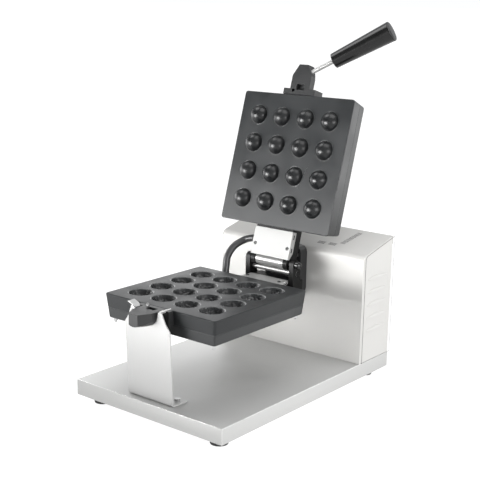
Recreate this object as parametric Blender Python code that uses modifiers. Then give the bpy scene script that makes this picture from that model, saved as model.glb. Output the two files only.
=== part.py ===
# Rotary walnut cookie maker with two hinged moulds, a front cradle and a control box.
# Lengths are in metres and angles in degrees. X runs to the right, Y to the rear and Z up.
# The machine stands on the table at Z = 0 and its lid is modelled closed, then swung open.
import math

import bmesh
import bpy
from mathutils import Matrix, Vector

# Driving dimensions of the base and the control box
base_width = 0.310
base_height = 0.026
base_clearance = 0.014
sheet = 0.0015
box_depth = 0.0945
box_rise = 0.0439
box_slope_rise = 0.0199
box_bend = 0.011

# Driving dimensions of the moulds
cavity_count = 4
cavity_radius = 0.020
cavity_wall = 0.010
cavity_depth = 0.016
rim_chamfer = 0.001
dome_gap = 0.0035
dome_height = 0.014
mould_rim = 0.021
mould_setback = 0.0274
parting_height = 0.1885
plate_thickness = 0.024
mould_thickness = 0.041
mould_draft = 0.0042
mould_corner = 0.0045

# Driving dimensions of the hinge, the turning head and the handle
hinge_setback = 0.0574
hinge_rise = 0.0198
hinge_to_head = 0.0317
head_depth = 0.0190
open_angle = 106.4
closed_gap = 0.0005
arm_half_width = 0.039
arm_low = 0.0095
arm_high = 0.036
spindle_radius = 0.0147
head_half_width = 0.0385
lug_reach = 0.0529
lug_radius = 0.0242
grip_length = 0.112
handle_plan_angle = 33.6
handle_rise_angle = 9.2

# Fits and cuts
gap = 0.0003
running_gap = 0.0003
overrun = 0.002

# Derived places used by several pieces
cavity_pitch = 2 * cavity_radius + cavity_wall
dome_radius = cavity_radius - dome_gap
mould_width = cavity_pitch * (cavity_count - 1) + 2 * (cavity_radius + mould_rim)
mould_length = mould_width
base_length = (mould_setback + mould_length + hinge_setback + hinge_to_head + head_depth
               + box_depth)
half_width = base_width / 2
base_rear = base_length / 2
base_top = base_clearance + base_height
box_front = base_rear - box_depth
box_front_top = parting_height + box_rise
box_rear_top = box_front_top + box_slope_rise
mould_front = mould_setback - base_length / 2
mould_rear = mould_front + mould_length
mould_middle = mould_front + mould_length / 2
lug_tip = mould_front - lug_reach
hinge_y = mould_rear + hinge_setback
hinge_height = parting_height + hinge_rise
head_front = hinge_y + hinge_to_head
head_half_height = box_rise + 2 * gap
gland_reach = 0.0135
rear_reach = base_rear + gland_reach
middle_y = (lug_tip + rear_reach) / 2


def clear_scene():
    for obj in list(bpy.data.objects):
        bpy.data.objects.remove(obj, do_unlink=True)


def new_collection(name):
    group = bpy.data.collections.new(name)
    bpy.context.scene.collection.children.link(group)
    return group


clear_scene()
parts = new_collection("walnut_cookie_maker")
cutters = new_collection("cutters")


def finish(name, colour, roughness, metallic=0.0):
    material = bpy.data.materials.new(name)
    material.use_nodes = True
    shader = material.node_tree.nodes["Principled BSDF"]
    shader.inputs["Base Color"].default_value = (*colour, 1.0)
    shader.inputs["Roughness"].default_value = roughness
    shader.inputs["Metallic"].default_value = metallic
    return material


brushed_steel = finish("brushed_steel", (0.62, 0.61, 0.59), 0.35, 1.0)
polished_steel = finish("polished_steel", (0.75, 0.75, 0.74), 0.12, 1.0)
coated_cast = finish("coated_cast", (0.045, 0.047, 0.048), 0.45, 0.1)
black_cast = finish("black_cast", (0.018, 0.018, 0.018), 0.5)
black_plastic = finish("black_plastic", (0.02, 0.02, 0.021), 0.3)
rubber = finish("rubber", (0.02, 0.02, 0.02), 0.8)
bronze = finish("bronze", (0.5, 0.33, 0.15), 0.3, 1.0)
fibre = finish("fibre", (0.8, 0.79, 0.74), 0.9)
amber = finish("amber", (0.9, 0.35, 0.03), 0.2)
green = finish("green", (0.05, 0.6, 0.12), 0.2)


# Shared ways of making a piece

def add_object(name, mesh, material):
    obj = bpy.data.objects.new(name, mesh)
    if material is None:
        cutters.objects.link(obj)
        obj.hide_render = True
        obj.display_type = 'WIRE'
    else:
        mesh.materials.append(material)
        parts.objects.link(obj)
    return obj


def mesh_of(shape, name):
    mesh = bpy.data.meshes.new(name)
    bmesh.ops.recalc_face_normals(shape, faces=shape.faces)
    shape.to_mesh(mesh)
    shape.free()
    return mesh


def smooth(obj, angle=35.0):
    obj.data.shade_smooth()
    obj.data.set_sharp_from_angle(angle=math.radians(angle))
    return obj


def block(name, low, high, material):
    """A rectangular block between two corners, with its origin in its middle."""
    shape = bmesh.new()
    bmesh.ops.create_cube(shape, size=1.0)
    size = [b - a for a, b in zip(low, high)]
    bmesh.ops.scale(shape, vec=size, verts=shape.verts)
    obj = add_object(name, mesh_of(shape, name), material)
    obj.location = [(a + b) / 2 for a, b in zip(low, high)]
    return obj


axis_turn = {
    "x": Matrix.Rotation(math.radians(90), 4, 'Y'),
    "y": Matrix.Rotation(math.radians(-90), 4, 'X'),
    "z": Matrix.Identity(4),
}


def bar(name, start, axis, radius, length, material, sides=20, end_radius=None):
    """A round or many-sided bar from start along +axis; end_radius makes it a cone."""
    shape = bmesh.new()
    far = radius if end_radius is None else end_radius
    bmesh.ops.create_cone(shape, cap_ends=True, segments=sides, radius1=radius, radius2=far,
                          depth=length)
    bmesh.ops.translate(shape, vec=(0, 0, length / 2), verts=shape.verts)
    obj = smooth(add_object(name, mesh_of(shape, name), material))
    obj.matrix_world = Matrix.Translation(start) @ axis_turn[axis]
    return obj


def turned(name, start, axis, profile, material, sides=24):
    """A turned piece: profile holds (radius, height) pairs down its outer side, top to bottom."""
    mesh = bpy.data.meshes.new(name)
    points = [(radius, 0.0, height) for radius, height in profile]
    edges = [(i, i + 1) for i in range(len(points) - 1)]
    if profile[0][0] > 0:
        edges.append((len(points) - 1, 0))
    mesh.from_pydata(points, edges, [])
    obj = add_object(name, mesh, material)
    screw = obj.modifiers.new("turn", 'SCREW')
    screw.steps = sides
    screw.render_steps = sides
    screw.use_merge_vertices = True
    screw.merge_threshold = 0.00001
    screw.use_smooth_shade = True
    obj.matrix_world = Matrix.Translation(start) @ axis_turn[axis]
    return obj


def arc(centre, radius, start, end, steps):
    """Points of a round stretch, from one angle to another."""
    angles = [math.radians(start + (end - start) * i / steps) for i in range(steps + 1)]
    return [(centre[0] + radius * math.cos(a), centre[1] + radius * math.sin(a)) for a in angles]


outline_turn = {
    "xy": Matrix.Identity(4),
    "xz": Matrix.Rotation(math.radians(90), 4, 'X'),
    "yz": Matrix(((0, 0, 1, 0), (1, 0, 0, 0), (0, 1, 0, 0), (0, 0, 0, 1))),
}


def fixed_mesh(curve, name, material):
    """The mesh of a curve piece with its caps welded on, in the curve's place."""
    bpy.context.view_layer.update()
    seen = curve.evaluated_get(bpy.context.evaluated_depsgraph_get())
    mesh = bpy.data.meshes.new_from_object(seen)
    shape = bmesh.new()
    shape.from_mesh(mesh)
    bmesh.ops.remove_doubles(shape, verts=shape.verts, dist=0.000001)
    shape.to_mesh(mesh)
    shape.free()
    mesh.materials.clear()
    obj = add_object(name, mesh, material)
    obj.matrix_world = curve.matrix_world
    bpy.data.objects.remove(curve, do_unlink=True)
    return obj


def flat(name, points, plane, low, high, material):
    """A flat outline in a plane, filled and thickened from low to high across it."""
    data = bpy.data.curves.new(name, 'CURVE')
    data.dimensions = '2D'
    data.fill_mode = 'BOTH'
    data.extrude = (high - low) / 2
    spline = data.splines.new('POLY')
    spline.points.add(len(points) - 1)
    for point, place in zip(spline.points, points):
        point.co = (place[0], place[1], 0, 1)
    spline.use_cyclic_u = True
    curve = bpy.data.objects.new(name + "_outline", data)
    cutters.objects.link(curve)
    across = (low + high) / 2
    lift = {"xy": (0, 0, across), "xz": (0, across, 0), "yz": (across, 0, 0)}[plane]
    curve.matrix_world = Matrix.Translation(lift) @ outline_turn[plane]
    return fixed_mesh(curve, name, material)


def tube(name, points, radius, material):
    """A round tube or wire along a line of points."""
    data = bpy.data.curves.new(name, 'CURVE')
    data.dimensions = '3D'
    data.bevel_depth = radius
    data.bevel_resolution = 2
    data.use_fill_caps = True
    spline = data.splines.new('POLY')
    spline.points.add(len(points) - 1)
    for point, place in zip(spline.points, points):
        point.co = (*place, 1)
    curve = bpy.data.objects.new(name + "_path", data)
    cutters.objects.link(curve)
    return smooth(fixed_mesh(curve, name, material), 50)


def folded(name, profile, low, high, thickness, material, plane="yz"):
    """Sheet metal folded along a profile; it thickens to the left of the profile's direction."""
    shape = bmesh.new()
    place = {
        "yz": lambda across, p: (across, p[0], p[1]),
        "xz": lambda across, p: (p[0], across, p[1]),
    }[plane]
    near = [shape.verts.new(place(low, p)) for p in profile]
    far = [shape.verts.new(place(high, p)) for p in profile]
    for i in range(len(profile) - 1):
        face = (near[i], near[i + 1], far[i + 1], far[i])
        shape.faces.new(face if plane == "xz" else face[::-1])
    mesh = bpy.data.meshes.new(name)
    shape.to_mesh(mesh)
    shape.free()
    obj = add_object(name, mesh, material)
    solid = obj.modifiers.new("sheet", 'SOLIDIFY')
    solid.thickness = thickness
    solid.offset = 1.0
    solid.use_even_offset = True
    return obj


def hold(child, parent):
    """Ties a piece to another or to an empty without moving it."""
    bpy.context.view_layer.update()
    child.parent = parent
    child.matrix_parent_inverse = parent.matrix_world.inverted()


def combine(obj, other, operation):
    modifier = obj.modifiers.new(operation.lower(), 'BOOLEAN')
    modifier.operation = operation
    modifier.object = other
    modifier.solver = 'EXACT'
    hold(other, obj)
    return obj


def cut(obj, *tools):
    for tool in tools:
        combine(obj, tool, 'DIFFERENCE')
    return obj


def join(obj, *others):
    for other in others:
        combine(obj, other, 'UNION')
    return obj


def bevel(obj, width, segments=2, angle=35.0):
    modifier = obj.modifiers.new("edges", 'BEVEL')
    modifier.width = width
    modifier.segments = segments
    modifier.limit_method = 'ANGLE'
    modifier.angle_limit = math.radians(angle)
    return obj


def screws(name, places, axis, size, length, head_sides=12):
    """Like screws along +axis, each with its head before its place and its shank past it."""
    head_share = 1.9
    height_share = 1.3
    head_height = size * height_share
    step = {"x": (1, 0, 0), "y": (0, 1, 0), "z": (0, 0, 1)}[axis]
    way = math.copysign(1, length)
    for i, place in enumerate(places):
        lift = -head_height if way > 0 else 0
        head_start = [p + lift * s for p, s in zip(place, step)]
        head = bar("%s_%d" % (name, i + 1), head_start, axis, size * head_share, head_height,
                   brushed_steel, head_sides)
        reach = abs(length) + head_height / 2
        shank_lift = -head_height / 2 if way > 0 else -abs(length)
        shank_start = [p + shank_lift * s for p, s in zip(place, step)]
        join(head, bar("shank", shank_start, axis, size, reach, None, 10))


def holes(obj, places, axis, radius, length, sides=12):
    """Round holes through a piece, each starting at a place and running along +axis."""
    for i, place in enumerate(places):
        cut(obj, bar(obj.name + "_hole_%d" % i, place, axis, radius, length, None, sides))
    return obj


# Base: folded tray, bottom pan and feet

foot_radius = 0.015
foot_inset = 0.030
foot_recess = 0.0055
pan_lift = 0.001
base_fold_radius = 0.0015


def foot_places(height):
    along = base_length / 2 - foot_inset
    across = half_width - foot_inset
    return [(x, y, height) for x in (-across, across) for y in (-along, along)]


def make_base():
    shape = bmesh.new()
    bmesh.ops.create_cube(shape, size=1.0)
    bmesh.ops.scale(shape, vec=(base_width, base_length, base_height), verts=shape.verts)
    bmesh.ops.translate(shape, vec=(0, 0, base_clearance + base_height / 2), verts=shape.verts)
    bottom = [face for face in shape.faces if face.normal.z < -0.5]
    bmesh.ops.delete(shape, geom=bottom, context='FACES_ONLY')
    bmesh.ops.bevel(shape, geom=[edge for edge in shape.edges if not edge.is_boundary],
                    offset=base_fold_radius, segments=2, profile=0.5, affect='EDGES')
    mesh = bpy.data.meshes.new("base_tray")
    shape.to_mesh(mesh)
    shape.free()
    tray = add_object("base_tray", mesh, brushed_steel)
    solid = tray.modifiers.new("sheet", 'SOLIDIFY')
    solid.thickness = sheet
    solid.offset = -1.0
    solid.use_even_offset = True
    holes(tray, cradle_screw_places(base_top - sheet - overrun), "z", cradle_screw + gap,
          sheet + 2 * overrun)

    wall = sheet + gap
    pan_low = base_clearance + pan_lift
    block("base_pan", (-half_width + wall, -base_rear + wall, pan_low),
          (half_width - wall, base_rear - wall, pan_low + sheet), brushed_steel)

    foot_height = pan_low - gap
    profile = [(0.0, foot_height), (foot_radius * 0.8, foot_height), (foot_radius, foot_height * 0.75),
               (foot_radius * 0.95, 0.0), (foot_recess, 0.0), (0.0, foot_height * 0.2)]
    names = ("foot_left_front", "foot_left_rear", "foot_right_front", "foot_right_rear")
    for name, place in zip(names, foot_places(0)):
        turned(name, place, "z", profile, rubber, 16)


# Front cradle: bent strip with a U and flared lips

cradle_side = 0.0225
cradle_reach = 0.0159
cradle_foot_depth = 0.0335
cradle_lean = 3.5
cradle_bend = 0.004
cradle_shoulder_drop = 0.0265
cradle_tip_rise = 0.0010
cradle_horn_width = 0.0070
cradle_screw = 0.0025
cradle_screw_length = 0.009
cradle_thickness = 0.002
cradle_seat = lug_radius + gap
cradle_half_width = cradle_seat + cradle_side
cradle_horn = cradle_seat + cradle_horn_width
cradle_foot_front = mould_front - cradle_reach
cradle_foot_rear = cradle_foot_front + cradle_foot_depth
cradle_shoulder = parting_height - cradle_shoulder_drop
cradle_tip = parting_height + cradle_tip_rise
lip_depth = 0.0140
lip_reach = 0.0120
lip_rise = 0.0065


def cradle_screw_places(height):
    back = cradle_foot_rear - (cradle_foot_rear - cradle_foot_front) * 0.3
    across = cradle_half_width * 0.74
    return [(x, back, height) for x in (-across, across)]


def cradle_face(height):
    """Where the leaning strip's front face is at a height."""
    return cradle_foot_front - (height - base_top) * math.tan(math.radians(cradle_lean))


def make_cradle():
    low = base_top + gap
    bend_middle = (cradle_foot_front + cradle_bend, low + cradle_bend)
    top = cradle_tip + overrun
    profile = [(cradle_face(top), top)]
    profile += arc(bend_middle, cradle_bend, 180 + cradle_lean, 270, 4)
    profile.append((cradle_foot_rear, low))
    strip = folded("cradle_bracket", profile, -cradle_half_width, cradle_half_width,
                   cradle_thickness, brushed_steel)

    seat = arc((0, parting_height), cradle_seat, 0, -180, 16)
    horn_curve = [(-cradle_horn, cradle_tip), (-cradle_half_width * 0.82, cradle_shoulder + 0.4
                  * (cradle_tip - cradle_shoulder)), (-cradle_half_width, cradle_shoulder)]
    left = [(-cradle_seat, cradle_tip)] + horn_curve + [(-cradle_half_width - overrun, 0)]
    right = [(-x, z) for x, z in reversed(left)]
    keep = flat("cradle_keep", left + right + seat, "xz", cradle_face(cradle_tip) - lip_depth,
                cradle_foot_rear + overrun, None)
    combine(strip, keep, 'INTERSECT')

    face = cradle_face(cradle_tip)
    lip_root = cradle_tip - lip_rise * 0.3
    for side in (-1, 1):
        inner = cradle_seat + (cradle_horn - cradle_seat) * 0.25
        run = [(side * inner, lip_root), (side * (inner + lip_rise * 0.35), cradle_tip + lip_rise * 0.4),
               (side * (inner + lip_reach), cradle_tip + lip_rise)]
        if side > 0:
            run.reverse()
        lip = folded("lip", run, face, face + lip_depth, cradle_thickness * 0.75, None, "xz")
        join(strip, lip)
    foot_cut = overrun + cradle_bend
    holes(strip, cradle_screw_places(low - foot_cut), "z", cradle_screw + gap, 2 * foot_cut)
    screws("cradle_screw", cradle_screw_places(low + cradle_thickness + gap), "z", cradle_screw,
           -cradle_screw_length)


# Control box: wrap with a sloped top, two louvred sides, rear panel and gland

box_gap = 0.0003
louvre_count = 5
louvre_pitch = 0.023
louvre_drop = 0.0454
louvre_length = 0.060
louvre_height = 0.0062
louvre_depth = 0.0022
louvre_lance = 0.0006
gland_radius = 0.0105
gland_inset = 0.055
gland_height = 0.035
gland_inner_length = 0.008
spindle_hole_gap = 0.001
control_row_setback = 0.021
temperature_x = -0.080
timer_x = -0.028
switch_x = 0.018
lamp_x = 0.041
lamp_spread = 0.009
lamp_depth = 0.010
knob_shaft = 0.003
lamp_radius = 0.004
switch_size = (0.0200, 0.0135)
rear_lap = 0.014
control_row = base_rear - control_row_setback
gland_x = gland_inset - half_width
gland_z = base_top + gland_height

top_slope = math.atan2(box_rear_top - box_front_top, box_depth - box_bend)
panel_normal = Vector((0, -math.sin(top_slope), math.cos(top_slope)))


def top_height(y):
    """Height of the sloped top's outer face at a depth."""
    return box_front_top + (y - box_front - box_bend) * math.tan(top_slope)


def box_profile(inset):
    """Side outline of the box, from the front foot over the bend and slope to the rear."""
    bend = box_bend - inset
    rise = box_bend / math.cos(top_slope)
    middle = (box_front + box_bend, top_height(box_front + box_bend) - rise)
    steps = 5
    points = [(box_front + inset, base_top + box_gap)]
    points += arc(middle, bend, 180, 90 + math.degrees(top_slope), steps)
    rear = base_rear - inset
    points.append((rear, top_height(rear) - inset / math.cos(top_slope)))
    return points


def panel_point(x, y, lift):
    """A place above the sloped top, measured square to it."""
    return Vector((x, y, top_height(y))) + panel_normal * lift


def panel_frame(x, y, lift):
    return Matrix.Translation(panel_point(x, y, lift)) @ Matrix.Rotation(top_slope, 4, 'X')


def panel_bar(name, x, y, low, high, radius, material, sides=14):
    obj = bar(name, (0, 0, 0), "z", radius, high - low, material, sides)
    obj.matrix_world = panel_frame(x, y, low)
    return obj


def panel_block(name, x, y, low, high, size, material):
    obj = block(name, (-size[0] / 2, -size[1] / 2, 0), (size[0] / 2, size[1] / 2, high - low),
                material)
    obj.matrix_world = panel_frame(x, y, low) @ Matrix.Translation((0, 0, (high - low) / 2))
    return obj


def lamp_place(y_side):
    return (lamp_x, control_row + y_side * lamp_spread)


def head_bolt_places(y):
    across = head_half_width * 0.74
    up = backplate_half_height - head_bolt_edge
    return [(x, y, parting_height + z) for x in (-across, across) for z in (-up, up)]


def make_box_wrap():
    profile = box_profile(0)
    profile.append((base_rear, top_height(base_rear) - rear_lap))
    profile.reverse()
    wrap = folded("box_wrap", profile, -half_width, half_width, sheet, brushed_steel)
    for x, name in ((temperature_x, "temperature"), (timer_x, "timer")):
        cut(wrap, panel_bar(name + "_hole", x, control_row, -2 * sheet - overrun, overrun,
                            knob_shaft + gap, None))
    for side in (-1, 1):
        x, y = lamp_place(side)
        cut(wrap, panel_bar("lamp_hole", x, y, -2 * sheet - overrun, overrun, lamp_radius + gap,
                            None))
    cut(wrap, panel_block("switch_hole", switch_x, control_row, -2 * sheet - overrun, overrun,
                          [s + 2 * gap for s in switch_size], None))
    opening = spindle_radius + running_gap + sleeve_wall + spindle_hole_gap
    cut(wrap, bar("spindle_opening", (0, box_front - overrun, parting_height), "y", opening,
                  sheet + 2 * overrun, None, 24))
    holes(wrap, head_bolt_places(box_front - overrun), "y", head_bolt + gap, sheet + 2 * overrun)
    return wrap


def louvre_form(name, side, height, rise, depth, back, below):
    """A half-round hood on a side panel, drawn down to nothing at both of its ends.

    It stands out by depth and up by rise, and runs back into the panel and below its lip.
    """
    shape = bmesh.new()
    half = louvre_length / 2
    centre = box_front + box_depth / 2
    face = half_width - gap
    loops = []
    for turn in (-80, -50, 0, 50, 80):
        along = centre + half * math.sin(math.radians(turn))
        swell = math.cos(math.radians(turn))
        points = [(-back, rise * swell)]
        for angle in (90, 45, 0):
            points.append((depth * swell * math.cos(math.radians(angle)),
                           rise * swell * math.sin(math.radians(angle))))
        points += [(depth * swell, -below), (-back, -below)]
        if not below:
            points.pop(-2)
        loops.append([shape.verts.new((side * (face + out), along, height + up))
                      for out, up in points])
    for near, far in zip(loops, loops[1:]):
        for i in range(len(near)):
            j = (i + 1) % len(near)
            shape.faces.new((near[i], near[j], far[j], far[i]))
    shape.faces.new(loops[0])
    shape.faces.new(loops[-1])
    return add_object(name, mesh_of(shape, name), None)


def make_box_sides():
    inset = sheet + gap
    points = box_profile(inset)
    points.append((base_rear - inset, base_top + box_gap))
    for side, name in ((-1, "box_side_left"), (1, "box_side_right")):
        outer = side * (half_width - gap)
        inner = side * (half_width - gap - sheet)
        panel = flat(name, points, "yz", min(outer, inner), max(outer, inner), brushed_steel)
        for i in range(louvre_count):
            height = box_front_top - louvre_drop - i * louvre_pitch
            join(panel, louvre_form("hood", side, height, louvre_height, louvre_depth,
                                    sheet / 2, 0.0))
            cut(panel, louvre_form("hood_space", side, height, louvre_height - sheet / 2,
                                   louvre_depth - sheet / 2, sheet + overrun, louvre_lance))


def make_box_rear():
    low = (-half_width + gap + sheet + gap, base_rear - sheet - gap - sheet, base_top + box_gap)
    high = (half_width - gap - sheet - gap, base_rear - sheet - gap,
            top_height(base_rear) - 2 * sheet - rear_lap * 0.3)
    panel = block("box_rear_panel", low, high, brushed_steel)
    hole = bar("gland_hole", (gland_x, low[1] - overrun, gland_z), "y",
               gland_radius * 0.6 + gap, sheet + 2 * overrun, None, 20)
    cut(panel, hole)
    face = base_rear - sheet - gap
    profile = [(gland_radius * 0.42, rear_reach - face), (gland_radius * 0.62, rear_reach - face),
               (gland_radius * 0.8, (rear_reach - face) * 0.5), (gland_radius, (rear_reach - face) * 0.45),
               (gland_radius, gap), (gland_radius * 0.6, gap),
               (gland_radius * 0.6, -sheet - gland_inner_length),
               (gland_radius * 0.42, -sheet - gland_inner_length)]
    turned("cable_gland", (gland_x, face, gland_z), "y", profile, black_plastic, 16)


# Turning head: fixed block with its bearing, and the spindle that carries the moulds

head_corner = 0.012
head_bolt = 0.003
head_bolt_edge = 0.0041
head_bolt_end = 0.0055
head_clearance = 0.0005
sleeve_wall = 0.0035
sleeve_end = 0.0077
backplate_thickness = 0.004
disc_radius = 0.030
disc_thickness = 0.0058
flange_thickness = 0.0050
flange_width = 0.0093
spindle_end = 0.0187
spindle_wall = 0.0057
nut_wall = 0.0083
nut_length = 0.009
backplate_half_height = box_rise - box_bend + 2 * gap
head_bolt_length = head_depth + sheet + backplate_thickness + head_bolt_end
flange_rear = head_front - head_clearance
disc_rear = flange_rear - flange_thickness
disc_front = disc_rear - disc_thickness
flange_radius = spindle_radius + flange_width
spindle_bore = spindle_radius - spindle_wall
nut_radius = spindle_radius + nut_wall
sleeve_reach = box_front + sheet + gap + backplate_thickness + sleeve_end
spindle_reach = sleeve_reach + gap + nut_length + spindle_end


def rounded_rectangle(half_x, half_z, middle_z, radius, steps=3):
    x = half_x - radius
    z = half_z - radius
    points = arc((x, middle_z + z), radius, 0, 90, steps)
    points += arc((-x, middle_z + z), radius, 90, 180, steps)
    points += arc((-x, middle_z - z), radius, 180, 270, steps)
    points += arc((x, middle_z - z), radius, 270, 360, steps)
    return points


def make_head():
    outline = rounded_rectangle(head_half_width, head_half_height, parting_height, head_corner)
    head = flat("head_block", outline, "xz", head_front, box_front - gap, black_cast)
    sleeve_outer = spindle_radius + running_gap + sleeve_wall
    cut(head, bar("sleeve_seat", (0, head_front - overrun, parting_height), "y",
                  sleeve_outer + gap, box_front - head_front + 2 * overrun, None, 24))
    holes(head, head_bolt_places(head_front - overrun), "y", head_bolt + gap,
          box_front - head_front + 2 * overrun)
    inside = box_front + sheet + gap
    backplate = block("bearing_backplate",
                      (-head_half_width, inside, parting_height - backplate_half_height),
                      (head_half_width, inside + backplate_thickness,
                       parting_height + backplate_half_height), brushed_steel)
    cut(backplate, bar("backplate_seat", (0, inside - overrun, parting_height), "y",
                       sleeve_outer + gap, backplate_thickness + 2 * overrun, None, 24))
    holes(backplate, head_bolt_places(inside - overrun), "y", head_bolt + gap,
          backplate_thickness + 2 * overrun)
    screws("head_bolt", head_bolt_places(head_front - gap), "y", head_bolt, head_bolt_length, 6)
    bore = spindle_radius + running_gap
    length = sleeve_reach - head_front
    profile = [(bore, length), (sleeve_outer, length), (sleeve_outer, gap), (bore, gap)]
    turned("bearing_sleeve", (0, head_front, parting_height), "y", profile, bronze, 24)


def make_spindle():
    start = disc_rear + gap
    flange = flange_rear - start
    reach = spindle_reach - start
    profile = [(spindle_bore, reach), (spindle_radius, reach), (spindle_radius, flange),
               (flange_radius, flange), (flange_radius, 0.0), (spindle_bore, 0.0)]
    turned("spindle", (0, start, parting_height), "y", profile, polished_steel, 24)
    nut_start = sleeve_reach + gap
    profile = [(spindle_radius + gap, nut_length), (nut_radius, nut_length), (nut_radius, 0.0),
               (spindle_radius + gap, 0.0)]
    turned("spindle_nut", (0, nut_start, parting_height), "y", profile, brushed_steel, 20)


# Hinge: the frame under the lower mould's rear, with two ears, a bolt and a stop rod

ear_gap = 0.0035
ear_thickness = 0.0090
ear_radius = 0.0085
ear_rim = 0.003
bolt_radius = 0.004
bolt_head_height = 0.0045
bolt_end = 0.0060
cap_nut_radius = 0.0066
cap_nut_length = 0.0100
boss_drop = 0.0012
stop_setback = 0.0052
stop_radius = 0.005
web_lead = 0.0038
cover_setback = 0.0032
cover_lead = 0.0058
cover_sheet = 0.0012
cover_flange = 0.0110
cover_slot = (0.0080, 0.0030)
ear_inner = arm_half_width + ear_gap
ear_outer = ear_inner + ear_thickness
boss_radius = hinge_rise - arm_low + boss_drop
stop_y = hinge_y + stop_setback
stop_drop = math.sqrt((boss_radius + stop_radius + 2 * gap) ** 2 - stop_setback ** 2)
stop_height = hinge_height - stop_drop
web_front = hinge_y - web_lead
cover_front = mould_rear + cover_setback
cover_rear = hinge_y - cover_lead


def mould_wall(depth):
    """Where a mould's rear wall is at a distance from the parting face."""
    return mould_rear - mould_draft * depth / mould_thickness


def make_hinge_frame():
    low = parting_height - arm_high
    high = parting_height - arm_low
    body_points = [(mould_wall(arm_low) + gap, high), (mould_wall(arm_high) + gap, low),
                   (disc_front + overrun, low), (disc_front + overrun, high)]
    frame = flat("hinge_frame", body_points, "yz", -arm_half_width, arm_half_width, black_cast)
    web = block("frame_web", (-ear_outer, web_front, low), (ear_outer, disc_front, high), None)
    join(frame, web)
    disc = bar("frame_disc", (0, disc_front, parting_height), "y", disc_radius,
               disc_rear - disc_front, None, 32)
    join(frame, disc)
    ear_rear = stop_y + stop_radius + ear_rim
    ear_points = arc((hinge_y, hinge_height), ear_radius, 180, 0, 6)
    ear_points += [(ear_rear, stop_height + stop_radius), (ear_rear, high), (ear_rear, low),
                   (web_front, low), (hinge_y - ear_radius, high)]
    for side in (-1, 1):
        inner = side * ear_inner
        outer = side * (ear_outer + gap)
        ear = flat("ear", ear_points, "yz", min(inner, outer), max(inner, outer), None)
        join(frame, ear)
    start = -ear_outer - overrun
    length = 2 * (ear_outer + overrun)
    cut(frame, bar("bolt_bore", (start, hinge_y, hinge_height), "x", bolt_radius + gap, length,
                   None, 20))
    cut(frame, bar("stop_bore", (start, stop_y, stop_height), "x", stop_radius + gap, length,
                   None, 20))
    return frame


def make_hinge_rods():
    reach = ear_outer + gap + gap
    head_height = bolt_head_height
    sunk = head_height / 2
    bolt = bar("hinge_bolt", (-reach - sunk, hinge_y, hinge_height), "x", bolt_radius,
               2 * reach + sunk + bolt_end, polished_steel)
    head = bar("bolt_head", (-reach - head_height, hinge_y, hinge_height), "x", bolt_radius * 1.7,
               head_height, None, 6)
    join(bolt, head)
    bore, depth = bolt_radius + gap, bolt_end + gap
    profile = [(0.0, cap_nut_length), (cap_nut_radius * 0.5, cap_nut_length * 0.95),
               (cap_nut_radius * 0.87, cap_nut_length * 0.74), (cap_nut_radius, cap_nut_length * 0.45),
               (cap_nut_radius, 0.0), (bore, 0.0), (bore, depth), (0.0, depth)]
    turned("hinge_nut", (reach, hinge_y, hinge_height), "x", profile, black_cast, 18)
    bar("stop_rod", (-ear_outer - gap, stop_y, stop_height), "x", stop_radius,
        2 * (ear_outer + gap), polished_steel)


def make_cover(side, name):
    """Stainless channel over a hinge casting's parting side; side is -1 lower or +1 upper."""
    outer = arm_low - gap
    face = parting_height + side * (outer - cover_sheet)
    tip = face + side * cover_flange
    across = arm_half_width + gap + cover_sheet
    profile = [(-across, tip), (-across, face), (across, face), (across, tip)]
    if side < 0:
        profile.reverse()
    cover = folded(name, profile, cover_front, cover_rear, cover_sheet, polished_steel, "xz")
    chamfer = (cover_rear - cover_front) * 0.25
    beyond = tip + side * overrun
    middle = face + side * cover_flange * 0.4
    corner = [(cover_rear + overrun, middle), (cover_rear, middle), (cover_rear - chamfer, tip),
              (cover_rear - chamfer * 1.1, beyond), (cover_rear + overrun, beyond)]
    cut(cover, flat("cover_corner", corner, "yz", -across - overrun, across + overrun, None))
    for share in (0.18, 0.66):
        along = cover_front + (cover_rear - cover_front) * share
        mid = face + side * cover_flange * 0.55
        for hand in (-1, 1):
            ends = sorted((hand * (across + overrun), hand * (arm_half_width - overrun)))
            cut(cover, block("slot", (ends[0], along - cover_slot[0] / 2, mid - cover_slot[1] / 2),
                             (ends[1], along + cover_slot[0] / 2, mid + cover_slot[1] / 2), None))
    return cover


# Moulds: a coated plate, a backing cover, a heater and its mat in each half

back_wall = 0.002
mould_boss = 0.0055
mould_boss_inset = 0.013
heater_radius = 0.004
heater_rows = 4
heater_side = 0.0485
heater_end = 0.030
heater_run = (mould_width - 2 * heater_side) / (heater_rows - 1)
edge_round = 0.0012


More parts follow.
